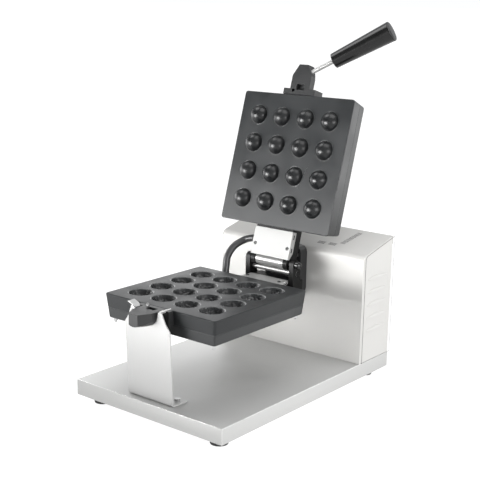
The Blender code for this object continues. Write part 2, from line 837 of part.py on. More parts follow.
def tapered(name, near, far, start, end, side, material, wall=0.0):
    """A block between two distances from the parting face, drawn in by the mould's draft.

    With a wall it is a tray of that thickness, open towards the parting face.
    """
    shape = bmesh.new()
    bmesh.ops.create_cube(shape, size=1.0)
    for vert in shape.verts:
        outer = vert.co.z > 0
        depth = end if outer else start
        shrink = far if outer else near
        vert.co.x = math.copysign(mould_width / 2 - shrink, vert.co.x)
        vert.co.y = math.copysign(mould_length / 2 - shrink, vert.co.y)
        vert.co.z = side * depth
    shape.normal_update()
    middle = side * (start + end) / 2
    upright = [edge for edge in shape.edges
               if (edge.verts[0].co.z - middle) * (edge.verts[1].co.z - middle) < 0]
    bmesh.ops.bevel(shape, geom=upright, offset=mould_corner, segments=3, profile=0.5,
                    affect='EDGES')
    shape.normal_update()
    bmesh.ops.recalc_face_normals(shape, faces=shape.faces)
    if wall:
        opening = [face for face in shape.faces if side * face.normal.z < -0.9]
        bmesh.ops.delete(shape, geom=opening, context='FACES_ONLY')
    mesh = bpy.data.meshes.new(name)
    shape.to_mesh(mesh)
    shape.free()
    obj = add_object(name, mesh, material)
    obj.location = (0, mould_middle, parting_height)
    bevel(obj, edge_round, 1, 60)
    if wall:
        solid = obj.modifiers.new("tray", 'SOLIDIFY')
        solid.thickness = wall
        solid.offset = -1.0
        solid.use_even_offset = True
    return obj


def draft_at(depth):
    return mould_draft * depth / mould_thickness


def cavity_grid(obj):
    """Repeats one cavity or dome over the rows and columns of a mould."""
    for axis, name in ((0, "columns"), (1, "rows")):
        repeat = obj.modifiers.new(name, 'ARRAY')
        repeat.count = cavity_count
        repeat.use_relative_offset = False
        repeat.use_constant_offset = True
        step = [0.0, 0.0, 0.0]
        step[axis] = cavity_pitch
        repeat.constant_offset_displace = step
    return obj


def cap_profile(radius, depth, steps):
    """Half outline of a spherical cap, from its rim down to its pole."""
    ball = (radius * radius + depth * depth) / (2 * depth)
    start = math.asin(radius / ball)
    points = []
    for i in range(steps + 1):
        angle = start * (1 - i / steps)
        points.append((ball * math.sin(angle), ball * (math.cos(start) - math.cos(angle))))
    return points


def first_cavity(height):
    offset = cavity_pitch * (cavity_count - 1) / 2
    return (-offset, mould_middle - offset, height)


def make_cavities(plate):
    profile = [(0.0, overrun), (cavity_radius + rim_chamfer, overrun),
               (cavity_radius + rim_chamfer, 0.0)]
    profile += [(r, h - rim_chamfer) for r, h in
                cap_profile(cavity_radius, cavity_depth - rim_chamfer, 4)]
    cavity = turned("cavity", first_cavity(parting_height), "z", profile, None, 18)
    cut(plate, cavity_grid(cavity))


def make_domes(plate):
    face = parting_height + closed_gap
    profile = [(0.0, overrun), (dome_radius, overrun)]
    profile += cap_profile(dome_radius, dome_height, 4)
    dome = turned("dome", first_cavity(face), "z", profile, None, 16)
    join(plate, cavity_grid(dome))


def mould_boss_places(height):
    across = mould_width / 2 - mould_draft - mould_boss_inset
    along = mould_length / 2 - mould_draft - mould_boss_inset
    return [(x, mould_middle + y, height) for x in (-across, across) for y in (-along, along)]


def heater_route(height):
    """A flat serpentine under the plate, its two ends at the rear."""
    half = mould_length / 2 - heater_end
    across = [(i - (heater_rows - 1) / 2) * heater_run for i in range(heater_rows)]
    bend = heater_run / 2
    points = []
    for i, x in enumerate(across):
        rear, front = mould_middle + half - bend, mould_middle - half + bend
        ends = (rear, front) if i % 2 == 0 else (front, rear)
        points += [(x, ends[0]), (x, ends[1])]
        if i < heater_rows - 1:
            middle = (x + bend, ends[1])
            turn = (180, 360) if i % 2 == 0 else (180, 0)
            points += arc(middle, bend, *turn, 6)[1:-1]
    points[0] = (points[0][0], mould_middle + half)
    points[-1] = (points[-1][0], mould_middle + half)
    return [(x, y, height) for x, y in points]


def make_mould(side, name, face_gap):
    """One mould half: side is -1 for the lower half and +1 for the upper half."""
    plate = tapered(name + "_mould_plate", draft_at(face_gap), draft_at(plate_thickness),
                    face_gap, plate_thickness, side, coated_cast)
    back_start = plate_thickness + gap
    back = tapered(name + "_mould_back", draft_at(back_start), mould_draft, back_start,
                   mould_thickness, side, coated_cast, back_wall)
    wall = mould_draft + back_wall
    floor = mould_thickness - back_wall
    for i, place in enumerate(mould_boss_places(0)):
        start = min(side * (back_start + gap), side * (floor + back_wall / 2))
        boss = bar("boss_%d" % i, (place[0], place[1], parting_height + start), "z", mould_boss,
                   floor + back_wall / 2 - back_start - gap, None, 12)
        join(back, boss)

    centre = parting_height + side * (back_start + heater_radius)
    tube(name + "_heater", heater_route(centre), heater_radius, brushed_steel)
    mat_start = back_start + 2 * heater_radius + gap
    inset = wall + mould_boss_inset + mould_boss
    mat_across = mould_width / 2 - inset
    mat_along = mould_length / 2 - inset
    ends = sorted((parting_height + side * mat_start, parting_height + side * (floor - gap)))
    block(name + "_insulation", (-mat_across, mould_middle - mat_along, ends[0]),
          (mat_across, mould_middle + mat_along, ends[1]), fibre)
    return plate


# Front lugs: the lower one turns in the cradle, the upper one carries the handle

lug_flange_half = 0.033
lug_flange_depth = 0.0100
lug_height = 0.0245
neck_half = 0.0200
tip_half = 0.0093
neck_reach = 0.0334
neck_round = 0.004
tip_taper = 0.0037
pocket_side = 0.0013
pocket_setback = 0.0134
pocket_size = (0.0165, 0.0100)
pocket_depth = 0.008
pin_radius = 0.0023
pin_height = 0.005
pin_seat = 0.008
pin_side = 0.0130
pin_setback = 0.0074
pin_hole_gap = 0.0009
neck_end = mould_front - neck_reach
tip_radius = lug_radius - tip_taper
pocket_middle = (pocket_side, mould_front - pocket_setback)
pin_place = (-pin_side, mould_front - pin_setback)


def make_lug(side, name, face_gap):
    """A front lug on one mould half, round about the turning axis under its neck."""
    root = mould_front - gap
    flange_front = root - lug_flange_depth
    ends = sorted((parting_height + side * face_gap, parting_height + side * lug_height))
    neck_points = [(neck_half, flange_front + overrun), (neck_half, neck_end), (tip_half, lug_tip),
                   (-tip_half, lug_tip), (-neck_half, neck_end), (-neck_half, flange_front + overrun)]
    lug = flat(name, neck_points, "xy", ends[0], ends[1], black_cast)
    round_start = neck_end + neck_round
    length = flange_front + 2 * overrun - lug_tip
    profile = [(0.0, length), (lug_radius, length), (lug_radius, round_start - lug_tip),
               (tip_radius, 0.0), (0.0, 0.0)]
    envelope = turned("lug_envelope", (0, lug_tip, parting_height), "y", profile, None, 40)
    combine(lug, envelope, 'INTERSECT')
    low, high = parting_height + side * face_gap, parting_height + side * lug_height
    flange_points = [(flange_front, low), (root, low), (root + draft_at(lug_height), high),
                     (flange_front, high)]
    join(lug, flat("lug_flange", flange_points, "yz", -lug_flange_half, lug_flange_half, None))
    pocket_ends = sorted((parting_height - side * overrun, parting_height + side * pocket_depth))
    half_x, half_y = pocket_size[0] / 2, pocket_size[1] / 2
    pocket = block("lug_pocket", (pocket_middle[0] - half_x, pocket_middle[1] - half_y, pocket_ends[0]),
                   (pocket_middle[0] + half_x, pocket_middle[1] + half_y, pocket_ends[1]), None)
    cut(lug, pocket)
    return lug


def make_pin(lower_lug, upper_lug):
    bottom = parting_height - pin_seat
    cut(lower_lug, bar("pin_seat", (*pin_place, bottom - gap), "z", pin_radius + gap,
                       pin_seat + overrun, None, 12))
    cut(upper_lug, bar("pin_hole", (*pin_place, parting_height - overrun), "z",
                       pin_radius + pin_hole_gap, pin_height + 2 * overrun, None, 12))
    length = pin_seat + pin_height
    profile = [(0.0, length), (pin_radius * 0.6, length), (pin_radius, length - pin_height * 0.4),
               (pin_radius, 0.0), (0.0, 0.0)]
    turned("locating_pin", (*pin_place, bottom), "z", profile, polished_steel, 12)


# Handle: threaded rod out of the upper lug and a tapered grip with an end cap

handle_side = 0.0105
handle_inset = 0.0141
handle_lift = 0.0064
handle_rod_radius = 0.004
grip_start = 0.048
grip_small = 0.0134
grip_large = 0.01735
cap_thickness = 0.0035
rod_in_grip = 0.040
rod_in_block = 0.004
handle_anchor = (handle_side, lug_tip + handle_inset, parting_height + handle_lift)


def handle_frame(distance):
    """Frame on the handle's axis, its Z pointing outward, at a distance from the anchor."""
    plan = math.radians(-handle_plan_angle)
    rise = math.radians(handle_rise_angle)
    way = Vector((math.cos(plan) * math.cos(rise), math.sin(plan) * math.cos(rise), math.sin(rise)))
    start = Vector(handle_anchor)
    turn = way.to_track_quat('Z', 'Y').to_matrix().to_4x4()
    return Matrix.Translation(start + way * distance) @ turn


def make_handle(upper_lug):
    hole = bar("rod_hole", (0, 0, 0), "z", handle_rod_radius + gap, grip_start, None, 16)
    hole.matrix_world = handle_frame(-rod_in_block - gap)
    cut(upper_lug, hole)
    rod = bar("handle_rod", (0, 0, 0), "z", handle_rod_radius, rod_in_block + grip_start + rod_in_grip,
              polished_steel, 16)
    rod.matrix_world = handle_frame(-rod_in_block)
    body = grip_length - cap_thickness - gap
    small_round = grip_small * 0.06
    bore = handle_rod_radius + gap
    profile = [(0.0, body), (grip_large, body), (grip_small, small_round),
               (grip_small - small_round, 0.0), (bore, 0.0), (bore, rod_in_grip + gap),
               (0.0, rod_in_grip + gap)]
    grip = turned("handle_grip", (0, 0, 0), "z", profile, black_plastic, 28)
    grip.matrix_world = handle_frame(grip_start)
    crown = cap_thickness
    profile = [(0.0, crown), (grip_large * 0.9, crown * 0.85), (grip_large, crown * 0.4),
               (grip_large, 0.0), (0.0, 0.0)]
    cap = turned("grip_cap", (0, 0, 0), "z", profile, black_plastic, 28)
    cap.matrix_world = handle_frame(grip_start + grip_length - cap_thickness)


# Hinge arm of the upper mould, modelled closed, with a polished sleeve between its knuckles

knuckle = 0.009
sleeve_inset = 0.0013
hinge_sleeve_radius = boss_radius - sleeve_inset

def make_hinge_arm():
    low = parting_height + arm_low
    high = parting_height + arm_high
    offset = Vector((stop_y - hinge_y, -stop_drop))
    swing = math.radians(-open_angle)
    stop_seen = offset.x * math.cos(swing) + offset.y * math.sin(swing)
    tail = hinge_y + stop_seen - stop_radius - gap
    foot = math.degrees(math.acos((tail - hinge_y) / boss_radius))
    front_low = mould_wall(arm_low) + gap
    front_high = mould_wall(arm_high) + gap
    dip = math.degrees(math.asin((hinge_rise - arm_low) / boss_radius))
    points = [(front_low, low)]
    points += arc((hinge_y, hinge_height), boss_radius, 180 + dip, 360 + foot, 12)
    points += [(tail, high), (front_high, high)]
    arm = flat("hinge_arm", points, "yz", -arm_half_width, arm_half_width, black_cast)
    cut(arm, bar("arm_bore", (-arm_half_width - overrun, hinge_y, hinge_height), "x",
                 bolt_radius + running_gap, 2 * (arm_half_width + overrun), None, 20))
    inside = arm_half_width - knuckle
    cut(arm, bar("sleeve_space", (-inside, hinge_y, hinge_height), "x", boss_radius + gap,
                 2 * inside, None, 32))
    length = 2 * (inside - gap)
    bore = bolt_radius + running_gap
    profile = [(bore, length), (hinge_sleeve_radius, length), (hinge_sleeve_radius, 0.0),
               (bore, 0.0)]
    turned("hinge_sleeve", (gap - inside, hinge_y, hinge_height), "x", profile, polished_steel, 28)
    return arm


# Flexible conduit from the lower mould's rear wall up to the hinge arm

conduit_radius = 0.0065
conduit_gland_radius = 0.0080
conduit_gland_length = 0.012
upper_gland_setback = 0.0259
upper_gland_rise = 0.0274
lower_gland_inset = 0.034
lower_gland_drop = 0.0326
conduit_loop = 0.089
conduit_loop_shares = ((-0.809, 0.143, 0.261), (-0.944, -0.020, 0.137), (-1.000, -0.155, -0.060),
                       (-0.983, -0.222, -0.273), (-0.944, -0.301, -0.475))
upper_gland_y = mould_rear + upper_gland_setback
lower_gland_x = lower_gland_inset - mould_width / 2


def opened(point):
    """Where a point of the closed lid lies when the lid is open."""
    swing = math.radians(open_angle)
    dy = point[1] - hinge_y
    dz = point[2] - hinge_height
    return (point[0], hinge_y + dy * math.cos(swing) + dz * math.sin(swing),
            hinge_height - dy * math.sin(swing) + dz * math.cos(swing))


def smooth_route(points, steps):
    """Points read from a smooth curve through the route's own points."""
    ends = [points[0]] + points + [points[-1]]
    route = []
    for i in range(1, len(ends) - 2):
        p0, p1, p2, p3 = (Vector(p) for p in ends[i - 1:i + 3])
        for step in range(steps):
            t = step / steps
            route.append(0.5 * (2 * p1 + (p2 - p0) * t + (2 * p0 - 5 * p1 + 4 * p2 - p3) * t * t
                                + (3 * p1 - p0 - 3 * p2 + p3) * t * t * t))
    route.append(Vector(points[-1]))
    return route


def gland_profile():
    length = conduit_gland_length
    return [(conduit_radius * 0.7, length), (conduit_radius, length),
            (conduit_gland_radius, length * 0.7), (conduit_gland_radius, gap),
            (conduit_radius * 0.7, gap)]


def make_conduit():
    wall = -arm_half_width - gap
    upper_seat = (wall, upper_gland_y, parting_height + upper_gland_rise)
    upper = turned("upper_conduit_gland", (0, 0, 0), "z", gland_profile(), black_plastic, 16)
    upper.matrix_world = Matrix.Translation(upper_seat) @ Matrix.Rotation(math.radians(-90), 4, 'Y')
    depth = lower_gland_drop
    lower_seat = (lower_gland_x, mould_wall(depth - conduit_gland_radius) + gap,
                  parting_height - depth)
    turned("lower_conduit_gland", lower_seat, "y", gland_profile(), black_plastic, 16)

    start = Vector(opened(upper_seat)) + Vector((-conduit_gland_length - gap, 0, 0))
    end = Vector(lower_seat) + Vector((0, conduit_gland_length + gap, 0))
    straight = conduit_radius
    hinge = Vector((0, hinge_y, hinge_height))
    route = [start + Vector((-straight, 0, 0))]
    route += [hinge + conduit_loop * Vector(shares) for shares in conduit_loop_shares]
    route.append(end + Vector((0, straight, 0)))
    tube("heater_conduit", [start] + smooth_route(route, 4) + [end], conduit_radius, black_plastic)


# Controls on the sloped top, and what they carry inside

knob_radius = 0.014
knob_height = 0.015
knob_lift = 0.0008
pointer_width = 0.003
shaft_top = 0.009
body_drop = 0.0004
control_body = (0.034, 0.020, 0.024)
rocker_tilt = 9.0
rocker_gap = 0.0008
rocker_round = 0.0045
rocker_pivot_drop = 0.0025
rocker_centre_drop = 0.004
rocker_ends = 0.0022
rocker_waist = 0.0008
bezel = 0.0025
bezel_height = 0.0018
switch_depth = 0.020
switch_well = 0.009
lamp_rise = 0.0045
lamp_shoulder = 0.0025
lamp_rim = 0.0015
terminal_size = (0.064, 0.022, 0.018)
terminal_inset = (0.055, 0.041)
terminal_count = 5
terminal_pitch = 0.0128
terminal_slot = 0.0084
terminal_floor = 0.009


def make_knob(name, x):
    bore = knob_shaft + gap
    profile = [(0.0, knob_height), (knob_radius * 0.82, knob_height),
               (knob_radius * 0.88, knob_height * 0.93), (knob_radius, knob_height * 0.12),
               (knob_radius, 0.0), (bore, 0.0), (bore, shaft_top - knob_lift + gap),
               (0.0, shaft_top - knob_lift + gap)]
    knob = turned(name + "_knob", (0, 0, 0), "z", profile, black_plastic, 20)
    knob.matrix_world = panel_frame(x, control_row, knob_lift)
    pointer = panel_block(name + "_pointer", x, control_row - knob_radius * 0.38,
                          knob_lift + knob_height * 0.8, knob_lift + knob_height * 1.12,
                          (pointer_width, knob_radius * 0.78), None)
    join(knob, pointer)
    reach = control_body[2] * 0.4
    below = -sheet - body_drop
    panel_bar(name + "_shaft", x, control_row, below - reach, shaft_top, knob_shaft, polished_steel,
              14)
    body = panel_block(name + "_body", x, control_row, below - control_body[2], below,
                       control_body, black_plastic)
    cut(body, panel_bar(name + "_bore", x, control_row, below - reach - gap, below + overrun,
                        knob_shaft + gap, None, 14))


def make_lamp(name, side, colour):
    x, y = lamp_place(side)
    profile = [(0.0, lamp_rise), (lamp_radius * 0.7, lamp_rise * 0.89),
               (lamp_radius, lamp_shoulder), (lamp_radius * 1.4, lamp_rim),
               (lamp_radius * 1.4, gap), (lamp_radius, gap),
               (lamp_radius, -lamp_depth), (0.0, -lamp_depth)]
    lamp = turned(name, (0, 0, 0), "z", profile, colour, 12)
    lamp.matrix_world = panel_frame(x, y, 0)


def make_switch():
    x = switch_x
    frame = panel_block("power_switch_frame", x, control_row, -switch_depth, -gap, switch_size,
                        black_plastic)
    rim = panel_block("switch_rim", x, control_row, gap, bezel_height,
                      [s + 2 * bezel for s in switch_size], None)
    neck = panel_block("switch_neck", x, control_row, -overrun, bezel_height * 0.56,
                       switch_size, None)
    join(frame, neck, rim)
    well = [s - 2 * bezel * 0.7 for s in switch_size]
    cut(frame, panel_block("switch_well", x, control_row, -switch_well, bezel_height + overrun,
                           well, None))
    size = [s - 2 * rocker_gap for s in well]
    half = size[0] / 2
    rocker_points = arc((0, -rocker_centre_drop), rocker_round, 200, 340, 6)
    rocker_points += [(half, rocker_ends), (0, rocker_waist), (-half, rocker_ends)]
    rocker = flat("power_rocker", rocker_points, "xz", -size[1] / 2, size[1] / 2, black_plastic)
    rocker.matrix_world = (panel_frame(x, control_row, 0)
                           @ Matrix.Translation((0, 0, -rocker_pivot_drop))
                           @ Matrix.Rotation(math.radians(rocker_tilt), 4, 'Y')
                           @ Matrix.Translation((0, 0, rocker_pivot_drop))
                           @ rocker.matrix_world)


def make_terminals():
    low = base_top + gap
    middle_x = terminal_inset[0] - half_width
    row_y = base_rear - terminal_inset[1]
    half_x, half_y = terminal_size[0] / 2, terminal_size[1] / 2
    strip = block("terminal_block", (middle_x - half_x, row_y - half_y, low),
                  (middle_x + half_x, row_y + half_y, low + terminal_size[2]), fibre)
    for i in range(terminal_count):
        x = middle_x + (i - (terminal_count - 1) / 2) * terminal_pitch
        slot = terminal_slot / 2
        cut(strip, block("terminal_%d" % i, (x - slot, row_y - half_y - overrun,
                                             low + terminal_floor),
                         (x + slot, row_y + half_y + overrun,
                          low + terminal_size[2] + overrun), None))


# Assembly

def assemble():
    make_base()
    make_cradle()
    make_box_wrap()
    make_box_sides()
    make_box_rear()
    make_head()
    make_spindle()
    make_knob("temperature", temperature_x)
    make_knob("timer", timer_x)
    make_lamp("power_lamp", -1, green)
    make_lamp("heating_lamp", 1, amber)
    make_switch()
    make_terminals()

    make_hinge_frame()
    make_hinge_rods()
    make_cavities(make_mould(-1, "lower", 0.0))
    lower_lug = make_lug(-1, "front_lug", 0.0)
    make_cover(-1, "lower_hinge_cover")

    standing = set(parts.objects)
    make_domes(make_mould(1, "upper", closed_gap))
    upper_lug = make_lug(1, "handle_block", closed_gap)
    make_hinge_arm()
    make_cover(1, "upper_hinge_cover")
    make_handle(upper_lug)
    lid_pieces = [obj for obj in parts.objects if obj not in standing]
    make_pin(lower_lug, upper_lug)
    make_conduit()
    lid_pieces.append(bpy.data.objects["upper_conduit_gland"])

    lid_pivot = bpy.data.objects.new("lid_pivot", None)
    parts.objects.link(lid_pivot)
    lid_pivot.location = (0, hinge_y, hinge_height)
    for piece in lid_pieces:
        hold(piece, lid_pivot)
    lid_pivot.rotation_euler.x = math.radians(-open_angle)

    machine = bpy.data.objects.new("machine", None)
    parts.objects.link(machine)
    bpy.context.view_layer.update()
    for obj in list(parts.objects):
        if obj.parent is None and obj is not machine:
            hold(obj, machine)
    machine.location = (0, -middle_y, 0)
    bpy.context.view_layer.update()


assemble()
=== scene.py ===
import math

import bmesh
import bpy
from mathutils import Matrix, Vector, noise


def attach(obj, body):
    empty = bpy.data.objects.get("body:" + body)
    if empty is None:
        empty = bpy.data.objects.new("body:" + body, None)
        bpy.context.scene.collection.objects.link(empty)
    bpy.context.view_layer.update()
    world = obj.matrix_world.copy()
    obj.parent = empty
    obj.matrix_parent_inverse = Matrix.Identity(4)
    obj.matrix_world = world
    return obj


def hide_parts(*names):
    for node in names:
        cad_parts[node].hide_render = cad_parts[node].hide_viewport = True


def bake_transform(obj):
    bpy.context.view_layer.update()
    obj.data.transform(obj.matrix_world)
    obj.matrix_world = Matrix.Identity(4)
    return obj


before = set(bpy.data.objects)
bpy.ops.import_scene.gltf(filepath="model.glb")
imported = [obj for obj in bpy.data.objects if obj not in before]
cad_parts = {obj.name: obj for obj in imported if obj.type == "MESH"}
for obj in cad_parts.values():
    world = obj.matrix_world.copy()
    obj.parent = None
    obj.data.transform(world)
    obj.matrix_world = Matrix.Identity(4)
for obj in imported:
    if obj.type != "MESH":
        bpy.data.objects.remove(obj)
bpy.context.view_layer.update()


# Studio
# A seamless white table under two near soft boxes, with a low card in front, one at each side
# and two panels behind, seen with a long lens from the front right.

def look_from(azimuth, elevation, roll, distance, target):
    """Where a camera stands and how it is turned to see a target from a distance."""
    az, el, ro = (math.radians(a) for a in (azimuth, elevation, roll))
    back = Vector((math.sin(az) * math.cos(el), -math.cos(az) * math.cos(el), math.sin(el)))
    right = (-back).cross(Vector((0, 0, 1))).normalized()
    up = right.cross(-back)
    turned_right = right * math.cos(ro) + up * math.sin(ro)
    turned_up = up * math.cos(ro) - right * math.sin(ro)
    place = Matrix((turned_right, turned_up, back)).transposed().to_4x4()
    place.translation = Vector(target) + back * distance
    return place


eye = bpy.data.cameras.new("eye")
eye.lens = 77.72
eye.sensor_width = 36.0
eye.clip_end = 400.0
eye_object = bpy.data.objects.new("eye", eye)
eye_object.matrix_world = look_from(azimuth=38.76, elevation=13.01, roll=1.05, distance=1.72943,
                                    target=(-0.00353, 0.006, 0.2584))
bpy.context.scene.collection.objects.link(eye_object)
bpy.context.scene.camera = eye_object

bpy.context.scene.view_settings.view_transform = 'Standard'
bpy.context.scene.view_settings.look = 'None'


def feed(tree, socket, value):
    """Joins a socket to another node's output, or sets it to a plain value."""
    if isinstance(value, bpy.types.NodeSocket):
        tree.links.new(value, socket)
    else:
        socket.default_value = value


def noise_node(tree, scale, detail=2.0, rough=0.5, place=None):
    """Cloudy noise, from broad clouds to fine grain as its scale grows."""
    cloud = tree.nodes.new("ShaderNodeTexNoise")
    cloud.inputs["Scale"].default_value = scale
    cloud.inputs["Detail"].default_value = detail
    cloud.inputs["Roughness"].default_value = rough
    if place is not None:
        tree.links.new(place, cloud.inputs["Vector"])
    return cloud.outputs["Fac"]


def range_node(tree, value, low, high, start=0.0, end=1.0):
    """Spreads what a value does between start and end over low to high."""
    span = tree.nodes.new("ShaderNodeMapRange")
    span.inputs["From Min"].default_value = start
    span.inputs["From Max"].default_value = end
    span.inputs["To Min"].default_value = low
    span.inputs["To Max"].default_value = high
    tree.links.new(value, span.inputs["Value"])
    return span.outputs[0]


def tone_mix(tree, share, first, second):
    """Goes from one tone to another by a share; each tone is a colour or a node's output."""
    mix = tree.nodes.new("ShaderNodeMix")
    mix.data_type = 'RGBA'
    feed(tree, mix.inputs["Factor"], share)
    feed(tree, mix.inputs["A"], first)
    feed(tree, mix.inputs["B"], second)
    return mix.outputs["Result"]


sky = bpy.data.worlds.new("studio")
sky.use_nodes = True
sky_tree = sky.node_tree
sky_light = sky_tree.nodes["Background"]
direction = sky_tree.nodes.new("ShaderNodeTexCoord").outputs["Generated"]
split = sky_tree.nodes.new("ShaderNodeSeparateXYZ")
sky_tree.links.new(direction, split.inputs[0])


def sky_ramp(steps):
    """Brightness of the studio's walls and ceiling by height, from the table upwards."""
    ramp = sky_tree.nodes.new("ShaderNodeValToRGB")
    colours = [(height, (tone * 0.99, tone, tone * 1.01, 1.0)) for height, tone in steps]
    ramp.color_ramp.elements[0].color = colours[0][1]
    ramp.color_ramp.elements[1].color = colours[-1][1]
    for height, colour in colours[1:-1]:
        ramp.color_ramp.elements.new(height).color = colour
    sky_tree.links.new(split.outputs["Z"], ramp.inputs["Fac"])
    return ramp.outputs["Color"]


front_wall = sky_ramp([(0.0, 1.0), (0.04, 0.9), (0.16, 0.42), (0.26, 0.20), (0.5, 0.12),
                       (1.0, 0.25)])
back_wall = sky_ramp([(0.0, 1.0), (0.04, 0.95), (0.12, 0.80), (0.60, 0.9), (0.85, 0.5),
                      (1.0, 0.25)])
into_room = (0.61, 0.79, 0.0)
front_end, back_start = -0.85, -0.35
facing = sky_tree.nodes.new("ShaderNodeVectorMath")
facing.operation = 'DOT_PRODUCT'
facing.inputs[1].default_value = into_room
sky_tree.links.new(direction, facing.inputs[0])
wall_share = range_node(sky_tree, facing.outputs["Value"], 0.0, 1.0, front_end, back_start)
wall_share.node.interpolation_type = 'SMOOTHSTEP'
walls = tone_mix(sky_tree, wall_share, front_wall, back_wall)
sky_tree.links.new(walls, sky_light.inputs["Color"])
sky_light.inputs["Strength"].default_value = 1.0
bpy.context.scene.world = sky


def soft_light(name, place, aim, size, radiance, spread=180.0):
    """A soft box or card that shines from its place towards what it is aimed at."""
    lamp = bpy.data.lights.new(name, 'AREA')
    lamp.shape = 'RECTANGLE'
    lamp.size, lamp.size_y = size
    lamp.energy = radiance * math.pi * size[0] * size[1]
    lamp.spread = math.radians(spread)
    lamp_object = bpy.data.objects.new(name, lamp)
    lamp_object.location = place
    lamp_object.rotation_euler = (Vector(aim) - Vector(place)).to_track_quat('-Z', 'Y').to_euler()
    lamp_object.visible_camera = False
    bpy.context.scene.collection.objects.link(lamp_object)


soft_light("top_box", (0.31, 0.10, 1.12), (0.22, 0.06, 0.2), (0.62, 0.62), 3.1)
soft_light("left_top_box", (-0.42, -0.06, 1.25), (0.0, 0.05, 0.30), (0.50, 0.50), 4.5)
soft_light("front_card", (-0.40, -0.78, 0.28), (0.0, 0.06, 0.37), (1.10, 0.38), 2.4, 50.0)
soft_light("right_card", (0.95, -0.20, 0.42), (0.0, -0.08, 0.04), (0.60, 0.40), 2.4, 100.0)
soft_light("left_card", (-0.85, -0.10, 0.34), (0.0, -0.05, 0.04), (0.70, 0.40), 1.7, 120.0)
soft_light("rear_left_panel", (-0.80, 0.95, 0.30), (0.0, -0.05, 0.05), (1.20, 0.60), 1.8)
soft_light("rear_panel", (0.90, 1.05, 0.36), (0.0, 0.0, 0.30), (1.20, 0.70), 1.7)


def new_finish(name):
    """A new node material, with its node tree and its shader."""
    made = bpy.data.materials.new(name)
    made.use_nodes = True
    return made, made.node_tree, made.node_tree.nodes["Principled BSDF"]


def new_piece(name, shape, material):
    """Turns a finished shape into a piece of the scene, with its material."""
    mesh = bpy.data.meshes.new(name)
    shape.to_mesh(mesh)
    shape.free()
    mesh.materials.append(material)
    piece = bpy.data.objects.new(name, mesh)
    bpy.context.scene.collection.objects.link(piece)
    return piece


table_half = 150.0
table_glow = 0.93
table_finish, table_tree, table_shader = new_finish("pale_table")
table_shader.inputs["Emission Color"].default_value = (1, 1, 1, 1)
table_shader.inputs["Emission Strength"].default_value = table_glow
table_shader.inputs["Roughness"].default_value = 0.9
table_tone = tone_mix(table_tree, noise_node(table_tree, 3.0), (0.19, 0.19, 0.19, 1),
                      (0.22, 0.22, 0.22, 1))
table_tree.links.new(table_tone, table_shader.inputs["Base Color"])
table_shape = bmesh.new()
bmesh.ops.create_grid(table_shape, x_segments=1, y_segments=1, size=table_half)
table_top = new_piece("table_top", table_shape, table_finish)


# Base tray and bottom pan
# The tray is stainless sheet with its brushing along the width, folded down on four
# sides and closed underneath by a flat pan; everything else stands on it.

def tint(tone, share=1.0):
    """A colour from a tone, made darker or lighter by a share."""
    return (*[t * share for t in tone], 1)


def raise_grain(tree, height, strength, depth):
    """Raises a texture as fine relief on a finish."""
    relief = tree.nodes.new("ShaderNodeBump")
    relief.inputs["Strength"].default_value = strength
    relief.inputs["Distance"].default_value = depth
    tree.links.new(height, relief.inputs["Height"])
    tree.links.new(relief.outputs["Normal"], tree.nodes["Principled BSDF"].inputs["Normal"])


def steel_finish(name, tone, brushing, smoothness=(0.26, 0.40), bump=0.05, metal=1.0):
    """Stainless sheet: long fine brush lines, cloudy tone and a soft change of gloss."""
    made, tree, shader = new_finish(name)
    shader.inputs["Metallic"].default_value = metal
    place = tree.nodes.new("ShaderNodeTexCoord").outputs["Object"]
    stretch = tree.nodes.new("ShaderNodeMapping")
    stretch.inputs["Scale"].default_value = brushing
    tree.links.new(place, stretch.inputs["Vector"])
    lines = noise_node(tree, 1.0, 5.0, 0.65, stretch.outputs["Vector"])
    clouds = noise_node(tree, 9.0, 3.0, place=place)
    feed(tree, shader.inputs["Roughness"], range_node(tree, lines, *smoothness, 0.3, 0.7))
    feed(tree, shader.inputs["Base Color"], tone_mix(tree, clouds, tint(tone, 0.93), tint(tone)))
    raise_grain(tree, lines, bump, 0.0004)
    return made


def dress(node, material, edge=0.0003, angle=28.0, edge_highlight=None):
    """Gives a carried-over piece its finish, closed facets and softly broken edges."""
    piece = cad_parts[node]
    mesh = piece.data
    mesh.materials.clear()
    mesh.materials.append(material)
    if "custom_normal" in mesh.attributes:
        mesh.attributes.remove(mesh.attributes["custom_normal"])
    mesh.shade_smooth()
    closed = piece.modifiers.new("closed", 'WELD')
    closed.merge_threshold = 0.000005
    if edge:
        broken = piece.modifiers.new("broken_edges", 'BEVEL')
        broken.width = edge
        broken.segments = 2
        broken.limit_method = 'ANGLE'
        broken.angle_limit = math.radians(angle)
        broken.harden_normals = True
        broken.use_clamp_overlap = True
        # Painted highlight: a lighter, glossier second material on the broken edges.
        if edge_highlight:
            mesh.materials.append(edge_highlight)
            broken.material = 1
    return piece


tray_steel = steel_finish("tray_steel", (0.45, 0.45, 0.443), (14, 900, 900), (0.44, 0.52),
                          bump=0.02, metal=0.38)
# Painted highlight: the tray's broken edges are lighter, as the bright line its rolled bends
# catch.
tray_edge_highlight = steel_finish("tray_edge_highlight", (0.85, 0.85, 0.84), (60, 60, 60), (0.22, 0.32), bump=0.01)
dress("base_tray", tray_steel, edge=0.0006, edge_highlight=tray_edge_highlight)
dress("base_pan", steel_finish("pan_steel", (0.55, 0.55, 0.54), (900, 14, 900), (0.4, 0.5)))


# Feet
# Four turned rubber feet, slightly tapered, with a recess in the sole for their screw.

